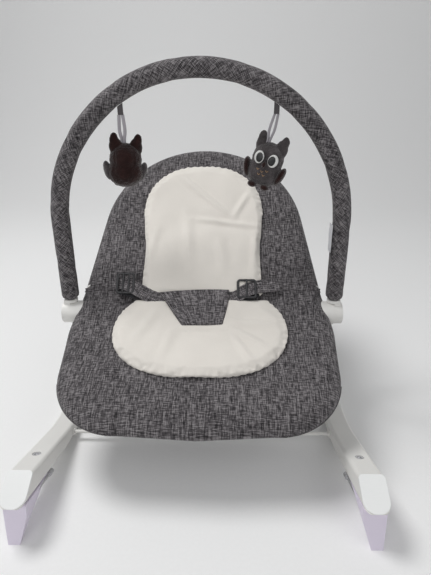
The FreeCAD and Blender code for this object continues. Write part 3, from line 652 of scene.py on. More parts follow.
def swell_pad(piece, voxel):
    """Cloth simulation that puffs a pad up, with a cap on how far a point may move."""
    scene = bpy.context.scene
    bpy.context.view_layer.objects.active = piece
    remesh = piece.modifiers.new("remesh", "REMESH")
    remesh.mode = "VOXEL"
    remesh.voxel_size = voxel
    bpy.ops.object.modifier_apply(modifier=remesh.name)
    before = [v.co.copy() for v in piece.data.vertices]
    cloth = piece.modifiers.new("cloth", "CLOTH")
    cloth.settings.quality = 4
    cloth.settings.mass = 0.25
    cloth.settings.use_pressure = True
    cloth.settings.uniform_pressure_force = 4.0
    cloth.settings.tension_stiffness = 40
    cloth.settings.bending_stiffness = 0.8
    cloth.settings.effector_weights.gravity = 0.0
    cloth.collision_settings.use_self_collision = False
    for number in range(1, sizes().sim_frames + 1):
        scene.frame_set(number)
    bpy.ops.object.modifier_apply(modifier=cloth.name)
    scene.frame_set(1)
    cap = sizes().pad_swell
    for vertex, start in zip(piece.data.vertices, before):
        move = vertex.co - start
        if move.length > cap:
            vertex.co = start + move * (cap / move.length)


def pucker(piece, outline, pitch, depth, band, frame, creases):
    """Scallops round a pad's bound edge, and creases that run across it."""
    back = frame.inverted()
    length = 0.0
    marks = []
    for i, (x, s) in enumerate(outline):
        before = outline[i - 1]
        length += math.hypot(x - before[0], s - before[1]) if i else 0.0
        marks.append((Vector((x, s)), length))
    for vertex in piece.data.vertices:
        local = back @ vertex.co
        flat = Vector((local.x, local.y))
        spot, along_edge = min(marks, key=lambda mark: (mark[0] - flat).length_squared)
        near = (spot - flat).length
        fade = max(0.0, 1 - near / band)
        wave = math.sin(2 * math.pi * along_edge / pitch + 2.0 * noise.noise(Vector((along_edge * 30, 0, 7))))
        ripple = depth * wave * fade * fade * (1.0 if local.z > 0 else 0.3)
        fold = 0.0
        for (x1, s1), (x2, s2), height, width in creases:
            run = Vector((x2 - x1, s2 - s1))
            t = min(max((flat - Vector((x1, s1))).dot(run) / run.length_squared, 0.0), 1.0)
            off = (flat - Vector((x1, s1)) - run * t).length
            taper = math.sin(math.pi * min(max(t, 0.03), 0.97)) ** 0.6
            fold += CREASE_SCALE * height * taper * (math.exp(-(off / width) ** 2) - 0.6 * math.exp(-(off / width / 2.2) ** 2))
        soft = 0.0016 * noise.noise(Vector((flat.x * 26, flat.y * 26, 4.2)))
        push = (ripple + (fold + soft) * min(near / 0.012, 1.0)) if local.z > PAD_BASE + 0.002 else 0.0
        vertex.co = frame @ (local + Vector((0, 0, push)))


def straighten_uvs(piece, frame):
    """UVs in metres from the pad's own plane."""
    back = frame.inverted()
    layer = piece.data.uv_layers.active or piece.data.uv_layers.new(name="weave")
    for loop in piece.data.loops:
        local = back @ piece.data.vertices[loop.vertex_index].co
        layer.data[loop.index].uv = (local.x, local.y)


def seat_pad_outline():
    right = [(0.0, -0.1500), (0.046, -0.1480), (0.084, -0.139), (0.115, -0.121), (0.136, -0.096)]
    right += [(0.1435, -0.070), (0.142, -0.042), (0.135, -0.018), (0.124, 0.002), (0.113, 0.013)]
    right += [(0.106, 0.0155), (0.0, 0.0155)]
    curve = smooth_path([Vector((x, s, 0)) for x, s in right], 5)
    return dense(both_sides([(p.x, p.y) for p in curve]), 0.005)


def back_pad_outline():
    right = [(0.0, 0.018), (0.099, 0.018), (0.106, 0.026), (0.106, 0.05)]
    right += [(0.1065, 0.10), (0.1105, 0.15)]
    for turn in range(3, 91, 3):
        c, t = math.cos(math.radians(turn)), math.sin(math.radians(turn))
        right.append((0.113 * c ** ARCH_SQUARE, 0.178 + 0.113 * t ** ARCH_SQUARE))
    return dense(both_sides(right), 0.005)


PAD_RINGS = [0, 0.0005, 0.0015, 0.003, 0.005, 0.0075] + [0.0105 + 0.005 * i for i in range(24)]

SEAT_CREASES = [
    ((0.045, -0.055), (0.110, -0.100), 0.0022, 0.006),
    ((0.042, -0.045), (0.125, -0.055), 0.0020, 0.007),
    ((0.050, -0.070), (0.085, -0.130), 0.0016, 0.006),
    ((-0.070, -0.015), (-0.105, -0.090), 0.0018, 0.009),
    ((-0.040, -0.055), (-0.060, -0.125), 0.0014, 0.008),
    ((-0.035, -0.060), (0.040, -0.058), 0.0020, 0.005),
]
BACK_CREASES = [
    ((-0.045, 0.262), (0.055, 0.168), 0.0026, 0.006),
    ((-0.020, 0.170), (0.105, 0.152), 0.0024, 0.006),
    ((0.055, 0.172), (0.085, 0.225), 0.0020, 0.006),
    ((-0.030, 0.185), (-0.020, 0.070), 0.0018, 0.010),
    ((0.040, 0.070), (0.030, 0.130), 0.0018, 0.009),
    ((-0.095, 0.085), (-0.080, 0.160), 0.0014, 0.008),
    ((0.088, 0.060), (0.094, 0.140), 0.0018, 0.006),
]


def pad_on(base):
    def place(x, s, n):
        return on_cover(x, s, base + n)

    return place


def pad_half(x, s):
    return sizes().pad_thick / 2


def insert_pad(name, outline, spine, creases, frame, node):
    base = PAD_BASE + sizes().pad_thick / 2 + 0.0012
    piece = pillow(name, outline, spine, pad_half, 0.0035, PAD_RINGS, pad_on(base))
    swell_pad(piece, 0.0034)
    pucker(piece, outline, 0.0125, 0.0028, 0.014, frame, creases)
    straighten_uvs(piece, frame)
    finish_piece(smoothed(piece), None, "cream_velour", "velour")
    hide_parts(node)
    return piece


def make_seat_pad():
    piece = insert_pad(
        "seat_pad", seat_pad_outline(), (0.06, -0.055, -0.055), SEAT_CREASES, SEAT, "seat_insert")
    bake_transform(piece)


def make_back_pad():
    piece = insert_pad(
        "back_pad", back_pad_outline(), (0.0, 0.10, 0.178), BACK_CREASES, BACK, "back_insert")
    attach(piece, "backrest")


# ------------------------------------------------------------------ harness
def band(name, spots, width, thick, material, slot, cross):
    """A flat strap through spots; cross(i) is its direction across at each one."""
    path = smooth_path(spots, 8)
    rows = []
    uvs = []
    profile = [(-1, 0), (-0.97, 0.75), (-0.9, 1), (0, 1), (0.9, 1), (0.97, 0.75), (1, 0)]
    profile += [(x, -y) for x, y in reversed(profile[1:-1])]
    length = 0.0
    for i, point in enumerate(path):
        length += (point - path[i - 1]).length if i else 0.0
        run = (path[min(i + 1, len(path) - 1)] - path[max(i - 1, 0)]).normalized()
        share = i / (len(path) - 1)
        wide = cross(share)
        wide = (wide - run * wide.dot(run)).normalized()
        up = wide.cross(run)
        half = width(share) / 2 if callable(width) else width / 2
        for a, b in profile:
            rows.append(point + wide * a * half + up * b * thick / 2)
            uvs.append((a * half, length))
    sides = len(profile)
    faces = []
    for i in range(len(path) - 1):
        for k in range(sides):
            a, b = i * sides + k, i * sides + (k + 1) % sides
            faces.append((a, b, b + sides, a + sides))
    faces.append(tuple(reversed(range(sides))))
    faces.append(tuple(range((len(path) - 1) * sides, len(path) * sides)))
    piece = mesh_piece(name, rows, faces, uvs)
    build = bmesh.new()
    build.from_mesh(piece.data)
    bmesh.ops.recalc_face_normals(build, faces=build.faces)
    build.to_mesh(piece.data)
    build.free()
    return finish_piece(piece, "base", slot, material)


def stitches(name, start, stop, body, slot="grey_strap", pitch=0.003, radius=0.0004, material="dark_thread"):
    """A row of stitches between two points, laid as short raised threads."""
    run = stop - start
    count = max(2, int(run.length / pitch))
    points = []
    faces = []
    for i in range(count):
        a = start + run * ((i + 0.15) / count)
        b = start + run * ((i + 0.85) / count)
        small = tube_points(a, b, radius)
        faces += [tuple(k + len(points) for k in face) for face in small[1]]
        points += small[0]
    return finish_piece(mesh_piece(name, points, faces), body, slot, material)


def tube_points(start, stop, radius, sides=6):
    run = (stop - start).normalized()
    side = run.orthogonal().normalized()
    out = run.cross(side)
    points = []
    for share, grow in ((0, 0.3), (0.2, 1.0), (0.8, 1.0), (1.0, 0.3)):
        centre = start + (stop - start) * share
        for k in range(sides):
            t = 2 * math.pi * k / sides
            points.append(centre + (side * math.cos(t) + out * math.sin(t)) * radius * grow)
    faces = [
        (i * sides + k, i * sides + (k + 1) % sides, (i + 1) * sides + (k + 1) % sides, (i + 1) * sides + k)
        for i in range(3) for k in range(sides)
    ]
    faces.append(tuple(reversed(range(sides))))
    faces.append(tuple(range(3 * sides, 4 * sides)))
    return points, faces


CROTCH_LOW = 0.0285
CROTCH_HIGH = 0.0370


def crotch_place(across_share, up_share, off):
    """A point of the crotch piece: shares across and up, and a height off its face."""
    low_left, low_right = Vector((-0.029, -0.056)), Vector((0.037, -0.054))
    high_left, high_right = Vector((-0.072, 0.012)), Vector((0.051, 0.019))
    low = low_left.lerp(low_right, across_share)
    high = high_left.lerp(high_right, across_share)
    flat = low.lerp(high, up_share)
    lift = CROTCH_LOW + (CROTCH_HIGH - CROTCH_LOW) * up_share
    belly = 0.0035 * math.sin(math.pi * across_share) * (0.4 + 0.6 * up_share)
    return SEAT @ Vector((flat.x, flat.y, lift + belly + off))


def make_crotch_piece():
    """The padded piece that the waist straps meet at, with a stitched line across."""
    across_count, up_count = 36, 26
    points = []
    uvs = []
    for face in (1, -1):
        for j in range(up_count + 1):
            for i in range(across_count + 1):
                a, u = i / across_count, j / up_count
                rim = min(a, 1 - a) * 0.09
                rim = min(rim, min(u, 1 - u) * 0.072)
                round_share = math.sqrt(max(0.0, 1 - (1 - min(rim / 0.0035, 1.0)) ** 2))
                seam = 0.0018 * math.exp(-((u - 0.52) / 0.03) ** 2)
                hem = 0.0012 * math.exp(-((u - 0.93) / 0.02) ** 2)
                ripple = 0.0006 * noise.noise(Vector((a * 6, u * 5, 2.0)))
                half = 0.0032 * round_share
                off = face * half + ((ripple - seam - hem) * round_share if face > 0 else 0.0)
                points.append(crotch_place(a, u, off))
                uvs.append((a * 0.09, u * 0.072))
    row = across_count + 1
    layer = row * (up_count + 1)
    faces = []
    for j in range(up_count):
        for i in range(across_count):
            k = j * row + i
            faces.append((k, k + 1, k + row + 1, k + row))
            faces.append((layer + k + 1, layer + k, layer + k + row, layer + k + row + 1))
    piece = mesh_piece("crotch_pad", points, faces, uvs)
    build = bmesh.new()
    build.from_mesh(piece.data)
    bmesh.ops.remove_doubles(build, verts=build.verts, dist=0.00002)
    bmesh.ops.holes_fill(build, edges=[e for e in build.edges if e.is_boundary])
    bmesh.ops.recalc_face_normals(build, faces=build.faces)
    build.to_mesh(piece.data)
    build.free()
    finish_piece(piece, "base", "grey_strap", "strap")
    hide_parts("crotch_piece")
    for share, tag in ((0.52, "middle"), (0.90, "hem")):
        low, high = crotch_place(0.05, share, 0.0028), crotch_place(0.95, share, 0.0028)
        points = [crotch_place(0.05 + 0.9 * i / 24, share, 0.0024) for i in range(25)]
        count = (high - low).length / 0.003
        stitch_row(f"crotch_stitches_{tag}", points, count)


def stitch_row(name, path, count):
    """Stitches that follow a path."""
    points = []
    faces = []
    for i in range(int(count)):
        spot = (i + 0.15) / count * (len(path) - 1)
        last = (i + 0.85) / count * (len(path) - 1)
        ends = []
        for value in (spot, last):
            k = min(int(value), len(path) - 2)
            ends.append(path[k].lerp(path[k + 1], value - k))
        small = tube_points(ends[0], ends[1], 0.0004)
        faces += [tuple(k + len(points) for k in face) for face in small[1]]
        points += small[0]
    return finish_piece(mesh_piece(name, points, faces), "base", "grey_strap", "dark_thread")


# ------------------------------------------------------------------ harness straps
STRAP_LIFT = 0.0272


def seat_point(x, y, lift):
    return on_cover(x, y, lift)


def across_seat(share):
    """Across the straps, which turn up from the seat's plane to the backrest's."""
    slope = SEAT_SLOPE + (BACK_SLOPE - SEAT_SLOPE) * 0.8
    return Vector((0, math.cos(slope), math.sin(slope)))


def turns_with_back(piece):
    """The piece leaves its body, and its place is baked into its mesh."""
    place = piece.matrix_world.copy()
    piece.parent = None
    piece.matrix_world = place
    if "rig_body" in piece:
        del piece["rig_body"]
    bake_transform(piece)


def make_waist_straps():
    """The two waist straps, from the crotch piece out to the pad's sides."""
    lines = {
        "left": [(0.040, 0.008, 0.0010), (0.056, 0.017, 0.0012), (0.078, 0.030, 0.0036), (0.094, 0.036, 0.0016),
                 (0.112, 0.040, -0.0020), (0.134, 0.044, -0.0070)],
        "right": [(-0.062, 0.006, 0.0010), (-0.082, 0.015, 0.0010), (-0.104, 0.028, 0.0016), (-0.130, 0.041, 0.0036),
                  (-0.142, 0.045, -0.0010), (-0.152, 0.048, -0.0060)],
    }
    for side, spots in lines.items():
        path = [seat_point(x, y, STRAP_LIFT + lift) for x, y, lift in spots]
        piece = band(f"waist_band_{side}", path, 0.0245, 0.0026, "strap", "grey_strap", across_seat)
        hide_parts(f"waist_strap_{side}")
        turns_with_back(piece)
        for edge, tag in ((-0.0098, "low"), (0.0098, "high")):
            line = [seat_point(x, y + edge, STRAP_LIFT + lift + 0.0013) for x, y, lift in spots]
            count = sum((b - a).length for a, b in zip(line, line[1:])) / 0.003
            turns_with_back(stitch_row(f"band_stitches_{side}_{tag}", smooth_path(line, 4), count))


def rounded_loop(width, height, radius, steps=5):
    """A rounded rectangle round the middle."""
    spots = []
    for cx, cy, start in ((1, 1, 0), (-1, 1, 90), (-1, -1, 180), (1, -1, 270)):
        middle = (cx * (width / 2 - radius), cy * (height / 2 - radius))
        spots += arc(*middle, radius, start, start + 90, steps)
    return spots


def slider_bar(name, spots, radius, body="base", closed=True):
    piece = tube_mesh(name, spots, radius, 10, closed=closed, flat=0.85, normal=SEAT.to_3x3() @ Vector((0, 0, 1)))
    return finish_piece(piece, body, "black_plastic", "black")


def make_sliders():
    """A square slider on the left strap, a three-bar slider on the right one, and their webbing."""
    for side, middle, size, bars in (
            ("left", (0.0775, 0.0310), (0.030, 0.0335), (0.0,)),
            ("right", (-0.1310, 0.0420), (0.028, 0.0350), (-0.004, 0.006))):
        loop = rounded_loop(size[0], size[1], 0.0042)
        ring = [seat_point(middle[0] + x, middle[1] + y, STRAP_LIFT + 0.0042) for x, y in loop]
        piece = slider_bar(f"slider_ring_{side}", ring, 0.0021)
        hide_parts(f"strap_slider_{side}")
        turns_with_back(piece)
        for number, offset in enumerate(bars):
            ends = [
                seat_point(middle[0] + offset, middle[1] + y, STRAP_LIFT + 0.0058)
                for y in (-size[1] / 2, 0.0, size[1] / 2)
            ]
            turns_with_back(slider_bar(f"slider_bar_{side}_{number}", smooth_path(ends, 6), 0.0017, closed=False))
    for side, tail in (
            ("left", [(0.050, 0.010, -0.0002), (0.066, 0.020, -0.0004), (0.080, 0.029, -0.0006), (0.096, 0.035, -0.0010)]),
            ("right", [(-0.110, 0.030, -0.0002), (-0.126, 0.037, -0.0004), (-0.142, 0.041, -0.0010)])):
        path = [seat_point(x, y - 0.003, STRAP_LIFT + lift - 0.0014) for x, y, lift in tail]
        piece = band(f"webbing_{side}", path, 0.0275, 0.0013, "webbing", "black_plastic", across_seat)
        turns_with_back(piece)


# ------------------------------------------------------------------ toy bar
BAR_HALF = 0.227
BAR_LEG = 0.157
SLEEVE_START = 0.026


def bar_path(step=0.004):
    """The bar's middle line in its own plane, from the left hub to the right one."""
    spots = []
    rise = int((BAR_LEG - SLEEVE_START) / step)
    spots += [(BAR_HALF, SLEEVE_START + (BAR_LEG - SLEEVE_START) * i / rise) for i in range(rise)]
    turns = int(math.pi * BAR_HALF / step)
    spots += [
        (BAR_HALF * math.cos(math.pi * i / turns), BAR_LEG + BAR_HALF * math.sin(math.pi * i / turns))
        for i in range(turns + 1)
    ]
    spots += [(-x, z) for x, z in reversed(spots[:rise])]
    return [BAR @ Vector((x, 0, z)) for x, z in spots]


def make_bar_sleeve():
    """Padded sleeve on the toy bar, with its lengthways seam on the inner side."""
    path = bar_path()
    count = len(path)

    def radius(share, angle):
        along = share * 1.0
        lumps = 0.0004 * noise.noise(Vector((along * 26, math.cos(angle), math.sin(angle))))
        pull = -0.0006 * max(0.0, math.sin(along * 62 + 1.3 * math.sin(angle))) ** 6
        seam = -0.0016 * math.exp(-((math.cos(angle) + 1) / 0.035) ** 2)
        ends = min(share, 1 - share) * (count - 1) * 0.004
        close = 0.62 + 0.38 * math.sqrt(min(ends / 0.006, 1.0))
        return (sizes().sleeve_radius + 0.0002 + lumps + pull + seam) * close

    piece = tube_mesh("bar_sleeve", path, radius, 40, normal=BAR.to_3x3() @ Vector((0, -1, 0)))
    layer = piece.data.uv_layers.active
    for loop in layer.data:
        loop.uv = (loop.uv[0], loop.uv[1])
    finish_piece(piece, "toy_bar", "grey_fabric", "bias")
    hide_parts("toy_bar_sleeve")


def make_care_label():
    """A blank satin label sewn into the sleeve's seam."""
    low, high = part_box("care_label")
    across = 0.022
    long = 0.046
    columns, rows = 12, 24
    points = []
    uvs = []
    for j in range(rows + 1):
        for i in range(columns + 1):
            a, u = i / columns, j / rows
            crumple = 0.0013 * noise.noise(Vector((a * 2.6, u * 4.2, 3.3))) * (0.3 + a * 0.7)
            curl = 0.0011 * math.sin(a * math.pi) * (0.4 + 0.6 * math.sin(u * 7))
            spot = Vector((-0.0006 - crumple - curl, -across / 2 + a * across, -long / 2 + u * long))
            middle = (Vector(low) + Vector(high)) / 2
            points.append(middle + BAR.to_3x3() @ spot)
            uvs.append((a * across, u * long))
    faces = []
    row = columns + 1
    for j in range(rows):
        for i in range(columns):
            k = j * row + i
            faces.append((k, k + 1, k + row + 1, k + row))
    piece = mesh_piece("blank_label", points, faces, uvs)
    finish_piece(piece, "toy_bar", "label", "label")
    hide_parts("care_label")


# ------------------------------------------------------------------ hanging toys
def blob(name, centre, radii, body, slot, material, turn=None, levels=2):
    """An egg-like closed shape from a UV sphere."""
    build = bmesh.new()
    bmesh.ops.create_uvsphere(build, u_segments=20, v_segments=14, radius=1.0)
    mesh = bpy.data.meshes.new(name)
    build.to_mesh(mesh)
    build.free()
    matrix = Matrix.Translation(centre) @ (turn or Matrix()) @ Matrix.Diagonal((*radii, 1))
    mesh.transform(matrix)
    piece = bpy.data.objects.new(name, mesh)
    bpy.context.scene.collection.objects.link(piece)
    return finish_piece(piece, body, slot, material)


def owl_body(centre, size, turn):
    """Points and faces of an owl's stuffed body: head, belly, ears, in one skin."""
    build = bmesh.new()
    half_w, half_h = size
    parts = [
        ((0, 0, half_h * 0.25), (half_w * 0.94, half_w * 0.78, half_h * 0.72)),
        ((0, 0, -half_h * 0.30), (half_w * 1.06, half_w * 0.84, half_h * 0.68)),
    ]
    for side in (-1, 1):
        parts.append(((side * half_w * 0.58, 0, half_h * 0.78), (half_w * 0.38, half_w * 0.24, half_h * 0.42)))
        parts.append(((side * half_w * 0.68, 0, half_h * 1.08), (half_w * 0.25, half_w * 0.17, half_h * 0.30)))
    for spot, radii in parts:
        matrix = Matrix.Translation(centre) @ turn @ Matrix.Translation(spot) @ Matrix.Diagonal((*radii, 1))
        bmesh.ops.create_uvsphere(build, u_segments=20, v_segments=14, radius=1.0, matrix=matrix)
    return build


OWL_SCALE = 1.2
OWL_SHIFT = {"left": -0.012, "right": 0.0}
OWL_ROLL = {"left": 16, "right": 6}


def make_owls():
    """Two small plush owls hanging from ribbon loops; one is turned round."""
    for side, sign, facing, material, other in (
            ("left", 1, -16, "plush_grey", "plush_brown"), ("right", -1, 196, "plush_brown", "plush_grey")):
        body = f"toy_{side}"
        slot = material
        low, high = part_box(f"plush_owl_{side}")
        pivot = Vector(JOINTS[f"toy_swing_{side}"]["pos_m"])
        half = (high.z - low.z) / 2
        centre = Vector((pivot.x + OWL_SHIFT[side], pivot.y, low.z + half * 0.92))
        turn = Matrix.Rotation(math.radians(OWL_ROLL[side]), 4, "Y") @ Matrix.Rotation(math.radians(facing), 4, "Z")
        turn = turn @ Matrix.Scale(OWL_SCALE, 4)
        build = owl_body(centre, (0.0222, 0.0290), turn)
        mesh = bpy.data.meshes.new(f"owl_{side}")
        build.to_mesh(mesh)
        build.free()
        piece = bpy.data.objects.new(f"owl_{side}", mesh)
        bpy.context.scene.collection.objects.link(piece)
        remesh = piece.modifiers.new("skin", "REMESH")
        remesh.mode = "VOXEL"
        remesh.voxel_size = 0.0011
        bpy.context.view_layer.objects.active = piece
        bpy.ops.object.modifier_apply(modifier=remesh.name)
        relax = piece.modifiers.new("relax", "SMOOTH")
        relax.factor = 0.6
        relax.iterations = 6
        bpy.ops.object.modifier_apply(modifier=relax.name)
        for vertex in piece.data.vertices:
            lump = noise.noise(vertex.co * 130) * 0.0007 + noise.noise(vertex.co * 420) * 0.0004
            vertex.co += vertex.normal * lump
        finish_piece(piece, body, slot, material)
        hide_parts(f"plush_owl_{side}")
        place = Matrix.Translation(centre) @ turn

        def at(x, y, z):
            return place @ Vector((x, y, z))

        for k in (-1, 1):
            tag = f"{side}_{'in' if k * sign < 0 else 'out'}"
            tilt = turn @ Matrix.Rotation(math.radians(16 * k), 4, "Y")
            wing = blob(
                f"owl_wing_{tag}", at(k * 0.0225, -0.004, -0.0085), (0.0052, 0.0105, 0.0125), body,
                other, other, tilt)
            roughen(wing, 0.0005)
            foot = blob(
                f"owl_paw_{tag}", at(k * 0.0085, -0.0125, -0.0262), (0.0058, 0.0062, 0.0042), body,
                other, other, turn)
            roughen(foot, 0.0004)
            disc = blob(
                f"owl_eye_{tag}", at(k * 0.0092, -0.0165, 0.0090), (0.0068, 0.0040, 0.0080), body,
                "label", "eye_white", turn @ Matrix.Rotation(math.radians(22 * k), 4, "Z"))
            pupil = blob(
                f"owl_pupil_{tag}", at(k * 0.0082, -0.0200, 0.0092), (0.0049, 0.0020, 0.0060), body,
                "black_plastic", "eye_black", turn @ Matrix.Rotation(math.radians(22 * k), 4, "Z"))
        beak = blob(
            f"owl_beak_{side}", at(0, -0.0200, 0.0020), (0.0026, 0.0030, 0.0040), body,
            "plush_brown", "plush_brown", turn)
        points = []
        faces = []
        for x, z in ((-0.006, -0.006), (0.0, -0.008), (0.006, -0.006), (-0.003, -0.012), (0.003, -0.012)):
            for lean in (-1, 1):
                small = tube_points(
                    at(x, -0.0190, z), at(x + lean * 0.0018, -0.0193, z + 0.0022), 0.00045)
                faces += [tuple(i + len(points) for i in face) for face in small[1]]
                points += small[0]
        finish_piece(mesh_piece(f"owl_stitches_{side}", points, faces), body, "ribbon", "thread")


def roughen(piece, amount):
    for vertex in piece.data.vertices:
        vertex.co += vertex.normal * noise.noise(vertex.co * 300) * amount


def make_ribbons():
    """The ribbon loops that the toys hang from."""
    for side in ("left", "right"):
        pivot = Vector(JOINTS[f"toy_swing_{side}"]["pos_m"])
        low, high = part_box(f"toy_ribbon_{side}")
        knot = Vector((pivot.x + OWL_SHIFT[side], pivot.y, low[2] - 0.006))
        for number, spread in enumerate((-1, 1)):
            top = pivot + Vector((spread * 0.0026, spread * 0.0006, -0.0010))
            belly = knot.lerp(top, 0.55) + Vector((spread * 0.0026, 0, 0))
            spots = [knot + Vector((spread * 0.0008, spread * 0.0007, 0)), knot.lerp(belly, 0.5), belly, top]

            def cross(share):
                return Vector((0.6, 0.8 - 0.3 * math.sin(share * 2.4), 0))

            piece = band(f"ribbon_{side}_{number}", spots, 0.0056, 0.0009, "ribbon", "ribbon", cross)
            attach(piece, f"toy_{side}")
            if number == 0:
                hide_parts(f"toy_ribbon_{side}")


# ------------------------------------------------------------------ moulded and metal pieces
NODE_FINISHES = {
    "moulding": ["runner", "hub_housing", "back_arm", "bar_socket"],
    "cap": ["front_cap", "rear_cap", "release_button"],
    "foot": ["front_foot", "rear_foot"],
    "paint": ["strut", "front_cross_rod", "rear_cross_rod", "seat_frame", "back_frame", "toy_bar_tube"],
    "steel": ["hub_bolt", "hub_nut", "button_spring", "front_foot_hinge", "rear_foot_hinge"],
    "chrome": ["runner_screws"],
    "weave": ["toy_tab"],
}
BEVELS = {"cap": 0.0009, "foot": 0.0042, "moulding": 0.0008}


def finish_node(node, material):
    """A material, and for some materials a small bevel, on a CAD piece."""
    piece = NODES[node]
    piece.data.materials.clear()
    piece.data.materials.append(MATERIALS[material])
    if material in BEVELS:
        edge = piece.modifiers.new("edge", "BEVEL")
        edge.width = BEVELS[material]
        edge.segments = 4
        edge.limit_method = "ANGLE"
        edge.angle_limit = math.radians(50)
        edge.harden_normals = False


def finish_nodes(names):
    for material in names:
        for stem in NODE_FINISHES[material]:
            for node in (stem, stem + "_left", stem + "_right"):
                if node in NODES:
                    finish_node(node, material)


# ------------------------------------------------------------------ stage
CAMERA_SPOT = (0.03989, -0.64426, 0.56939)
CAMERA_YAW = 0.0239045
CAMERA_PITCH = 0.471235
CAMERA_ROLL = -0.00829405
CAMERA_LENS = 27.04


def camera_turn():
    s, c = math.sin(CAMERA_YAW), math.cos(CAMERA_YAW)
    low, level = math.sin(CAMERA_PITCH), math.cos(CAMERA_PITCH)
    right = Vector((c, s, 0))
    forward = Vector((-s * level, c * level, -low))
    up = Vector((-s * low, c * low, level))
    cos_roll, sin_roll = math.cos(CAMERA_ROLL), math.sin(CAMERA_ROLL)
    x = right * cos_roll + up * sin_roll
    y = up * cos_roll - right * sin_roll
    return Matrix((x, y, -forward)).transposed().to_4x4()


def backdrop_material():
    """A pale floor that shows plain white to the camera away from the object's shadow."""
    made = Nodes("backdrop")
    spot = made.place()
    grain = made.noise(spot, 240.0, 2.0)
    base = colours().backdrop
    made.paint(made.ramp(grain, ((0.3, shade(base, 0.99)), (0.7, shade(base, 1.01)))))
    made.bump(grain, 0.0001, 0.3)
    made.set(Roughness=0.9)
    return made.material


def make_world():
    world = bpy.data.worlds.new("studio")
    bpy.context.scene.world = world
    world.use_nodes = True
    tree = world.node_tree
    plain = tree.nodes["Background"]
    plain.inputs["Color"].default_value = (0.97, 0.98, 1.0, 1)
    plain.inputs["Strength"].default_value = 0.30
    white = tree.nodes.new("ShaderNodeBackground")
    white.inputs["Color"].default_value = (1, 1, 1, 1)
    white.inputs["Strength"].default_value = 1.0
    path = tree.nodes.new("ShaderNodeLightPath")
    glossy = tree.nodes.new("ShaderNodeMath")
    glossy.operation = "MAXIMUM"
    clear = tree.nodes.new("ShaderNodeMath")
    clear.operation = "MAXIMUM"
    tree.links.new(path.outputs["Is Camera Ray"], glossy.inputs[0])
    tree.links.new(path.outputs["Is Glossy Ray"], glossy.inputs[1])
    tree.links.new(glossy.outputs[0], clear.inputs[0])
    tree.links.new(path.outputs["Is Transmission Ray"], clear.inputs[1])
    mix = tree.nodes.new("ShaderNodeMixShader")
    tree.links.new(clear.outputs[0], mix.inputs[0])
    tree.links.new(plain.outputs[0], mix.inputs[1])
    tree.links.new(white.outputs[0], mix.inputs[2])
    tree.links.new(mix.outputs[0], tree.nodes["World Output"].inputs["Surface"])


def add_light(name, spot, target, power, size):
    data = bpy.data.lights.new(name, "AREA")
    data.energy = power
    data.shape = "DISK"
    data.size = size
    lamp = bpy.data.objects.new(name, data)
    bpy.context.scene.collection.objects.link(lamp)
    lamp.location = spot
    lamp.rotation_euler = (Vector(target) - Vector(spot)).to_track_quat("-Z", "Y").to_euler()


def make_stage():
    scene = bpy.context.scene
    scene.view_settings.view_transform = "Standard"
    make_world()
    profile = [(-4.0, 0.0), (1.2, 0.0)]
    profile += [(1.2 + y, z + 0.9) for y, z in arc(0, 0, 0.9, -90, 0, 18)][1:] + [(2.1, 4.5)]
    points = [(x, y, z) for y, z in profile for x in (-5, 5)]
    faces = [(2 * i, 2 * i + 1, 2 * i + 3, 2 * i + 2) for i in range(len(profile) - 1)]
    floor = mesh_piece("floor", points, faces)
    floor.data.materials.append(backdrop_material())
    floor.data.shade_smooth()
    add_light("key", (-0.8, 0.2, 2.0), (0, 0.0, 0.2), 22, 0.8)
    add_light("fill", (1.2, -1.0, 1.3), (0, 0.05, 0.2), 4.5, 1.6)
    add_light("front", (-0.5, -1.5, 0.9), (0, 0.05, 0.2), 4.5, 1.4)
    data = bpy.data.cameras.new("camera")
    data.lens = CAMERA_LENS
    data.sensor_width = 36
    camera = bpy.data.objects.new("camera", data)
    scene.collection.objects.link(camera)
    camera.matrix_world = Matrix.Translation(CAMERA_SPOT) @ camera_turn()
    scene.camera = camera


# ------------------------------------------------------------------ operators
class BOUNCER_OT_finishes(bpy.types.Operator):
    """Make the materials of every piece"""

    bl_idname = "bouncer.finishes"
    bl_label = "Finishes"

    def execute(self, context):
        make_materials()
        return {"FINISHED"}


class BOUNCER_OT_mouldings(bpy.types.Operator):
    """Finish the runners, hubs, caps, buttons and stop feet"""

    bl_idname = "bouncer.mouldings"
    bl_label = "Mouldings"

    def execute(self, context):
        finish_nodes(("moulding", "cap", "foot"))
        return {"FINISHED"}


class BOUNCER_OT_metalwork(bpy.types.Operator):
    """Finish the tubes, rods, screws, bolts and springs, and the toy tabs"""

    bl_idname = "bouncer.metalwork"
    bl_label = "Metalwork"

    def execute(self, context):
        finish_nodes(("paint", "steel", "chrome", "weave"))
        return {"FINISHED"}


class BOUNCER_OT_covers(bpy.types.Operator):
    """Make the grey covers of the seat and the backrest"""

    bl_idname = "bouncer.covers"
    bl_label = "Covers"

    def execute(self, context):
        make_seat_fabric()
        make_back_fabric()
        make_front_piping()
        return {"FINISHED"}


class BOUNCER_OT_pads(bpy.types.Operator):
    """Make the two cream insert pads"""

    bl_idname = "bouncer.pads"
    bl_label = "Insert pads"

    def execute(self, context):
        make_seat_pad()
        make_back_pad()
        return {"FINISHED"}


class BOUNCER_OT_harness(bpy.types.Operator):
    """Make the crotch piece, the waist straps and their sliders"""

    bl_idname = "bouncer.harness"
    bl_label = "Harness"

    def execute(self, context):
        make_crotch_piece()
        make_waist_straps()
        make_sliders()
        return {"FINISHED"}


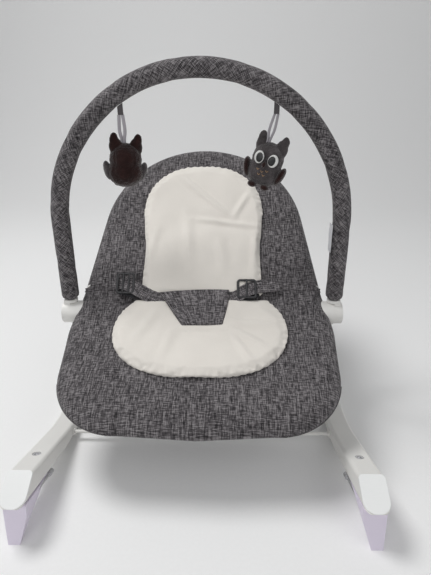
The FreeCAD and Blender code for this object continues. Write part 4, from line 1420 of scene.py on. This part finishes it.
class BOUNCER_OT_toy_bar(bpy.types.Operator):
    """Make the toy bar's padded sleeve and its blank label"""

    bl_idname = "bouncer.toy_bar"
    bl_label = "Toy bar"

    def execute(self, context):
        make_bar_sleeve()
        make_care_label()
        return {"FINISHED"}


class BOUNCER_OT_toys(bpy.types.Operator):
    """Make the ribbons and the plush owls that hang from them"""

    bl_idname = "bouncer.toys"
    bl_label = "Hanging toys"

    def execute(self, context):
        make_ribbons()
        make_owls()
        return {"FINISHED"}


class BOUNCER_OT_stage(bpy.types.Operator):
    """Set up the floor, the backdrop, the lights and the camera"""

    bl_idname = "bouncer.stage"
    bl_label = "Stage"

    def execute(self, context):
        make_stage()
        return {"FINISHED"}


OPERATORS = (
    BOUNCER_OT_finishes,
    BOUNCER_OT_mouldings,
    BOUNCER_OT_metalwork,
    BOUNCER_OT_covers,
    BOUNCER_OT_pads,
    BOUNCER_OT_harness,
    BOUNCER_OT_toy_bar,
    BOUNCER_OT_toys,
    BOUNCER_OT_stage,
)


class BOUNCER_PT_panel(bpy.types.Panel):
    """Sizes, colours and one button for each group of pieces"""

    bl_idname = "BOUNCER_PT_panel"
    bl_label = "Bouncer Seat"
    bl_space_type = "VIEW_3D"
    bl_region_type = "UI"
    bl_category = "Bouncer"

    def draw(self, context):
        for owner in (context.scene.bouncer_sizes, context.scene.bouncer_colours):
            box = self.layout.box()
            for key in owner.__annotations__:
                box.prop(owner, key)
        for made in OPERATORS:
            self.layout.operator(made.bl_idname)


CLASSES = (BouncerSizes, BouncerColours, *OPERATORS, BOUNCER_PT_panel)


def register():
    for made in CLASSES:
        bpy.utils.register_class(made)
    bpy.types.Scene.bouncer_sizes = PointerProperty(type=BouncerSizes)
    bpy.types.Scene.bouncer_colours = PointerProperty(type=BouncerColours)


def unregister():
    del bpy.types.Scene.bouncer_colours
    del bpy.types.Scene.bouncer_sizes
    for made in reversed(CLASSES):
        bpy.utils.unregister_class(made)


def main():
    register()
    for made in OPERATORS:
        getattr(bpy.ops.bouncer, made.bl_idname.split(".")[1])()


if __name__ == "__main__":
    main()
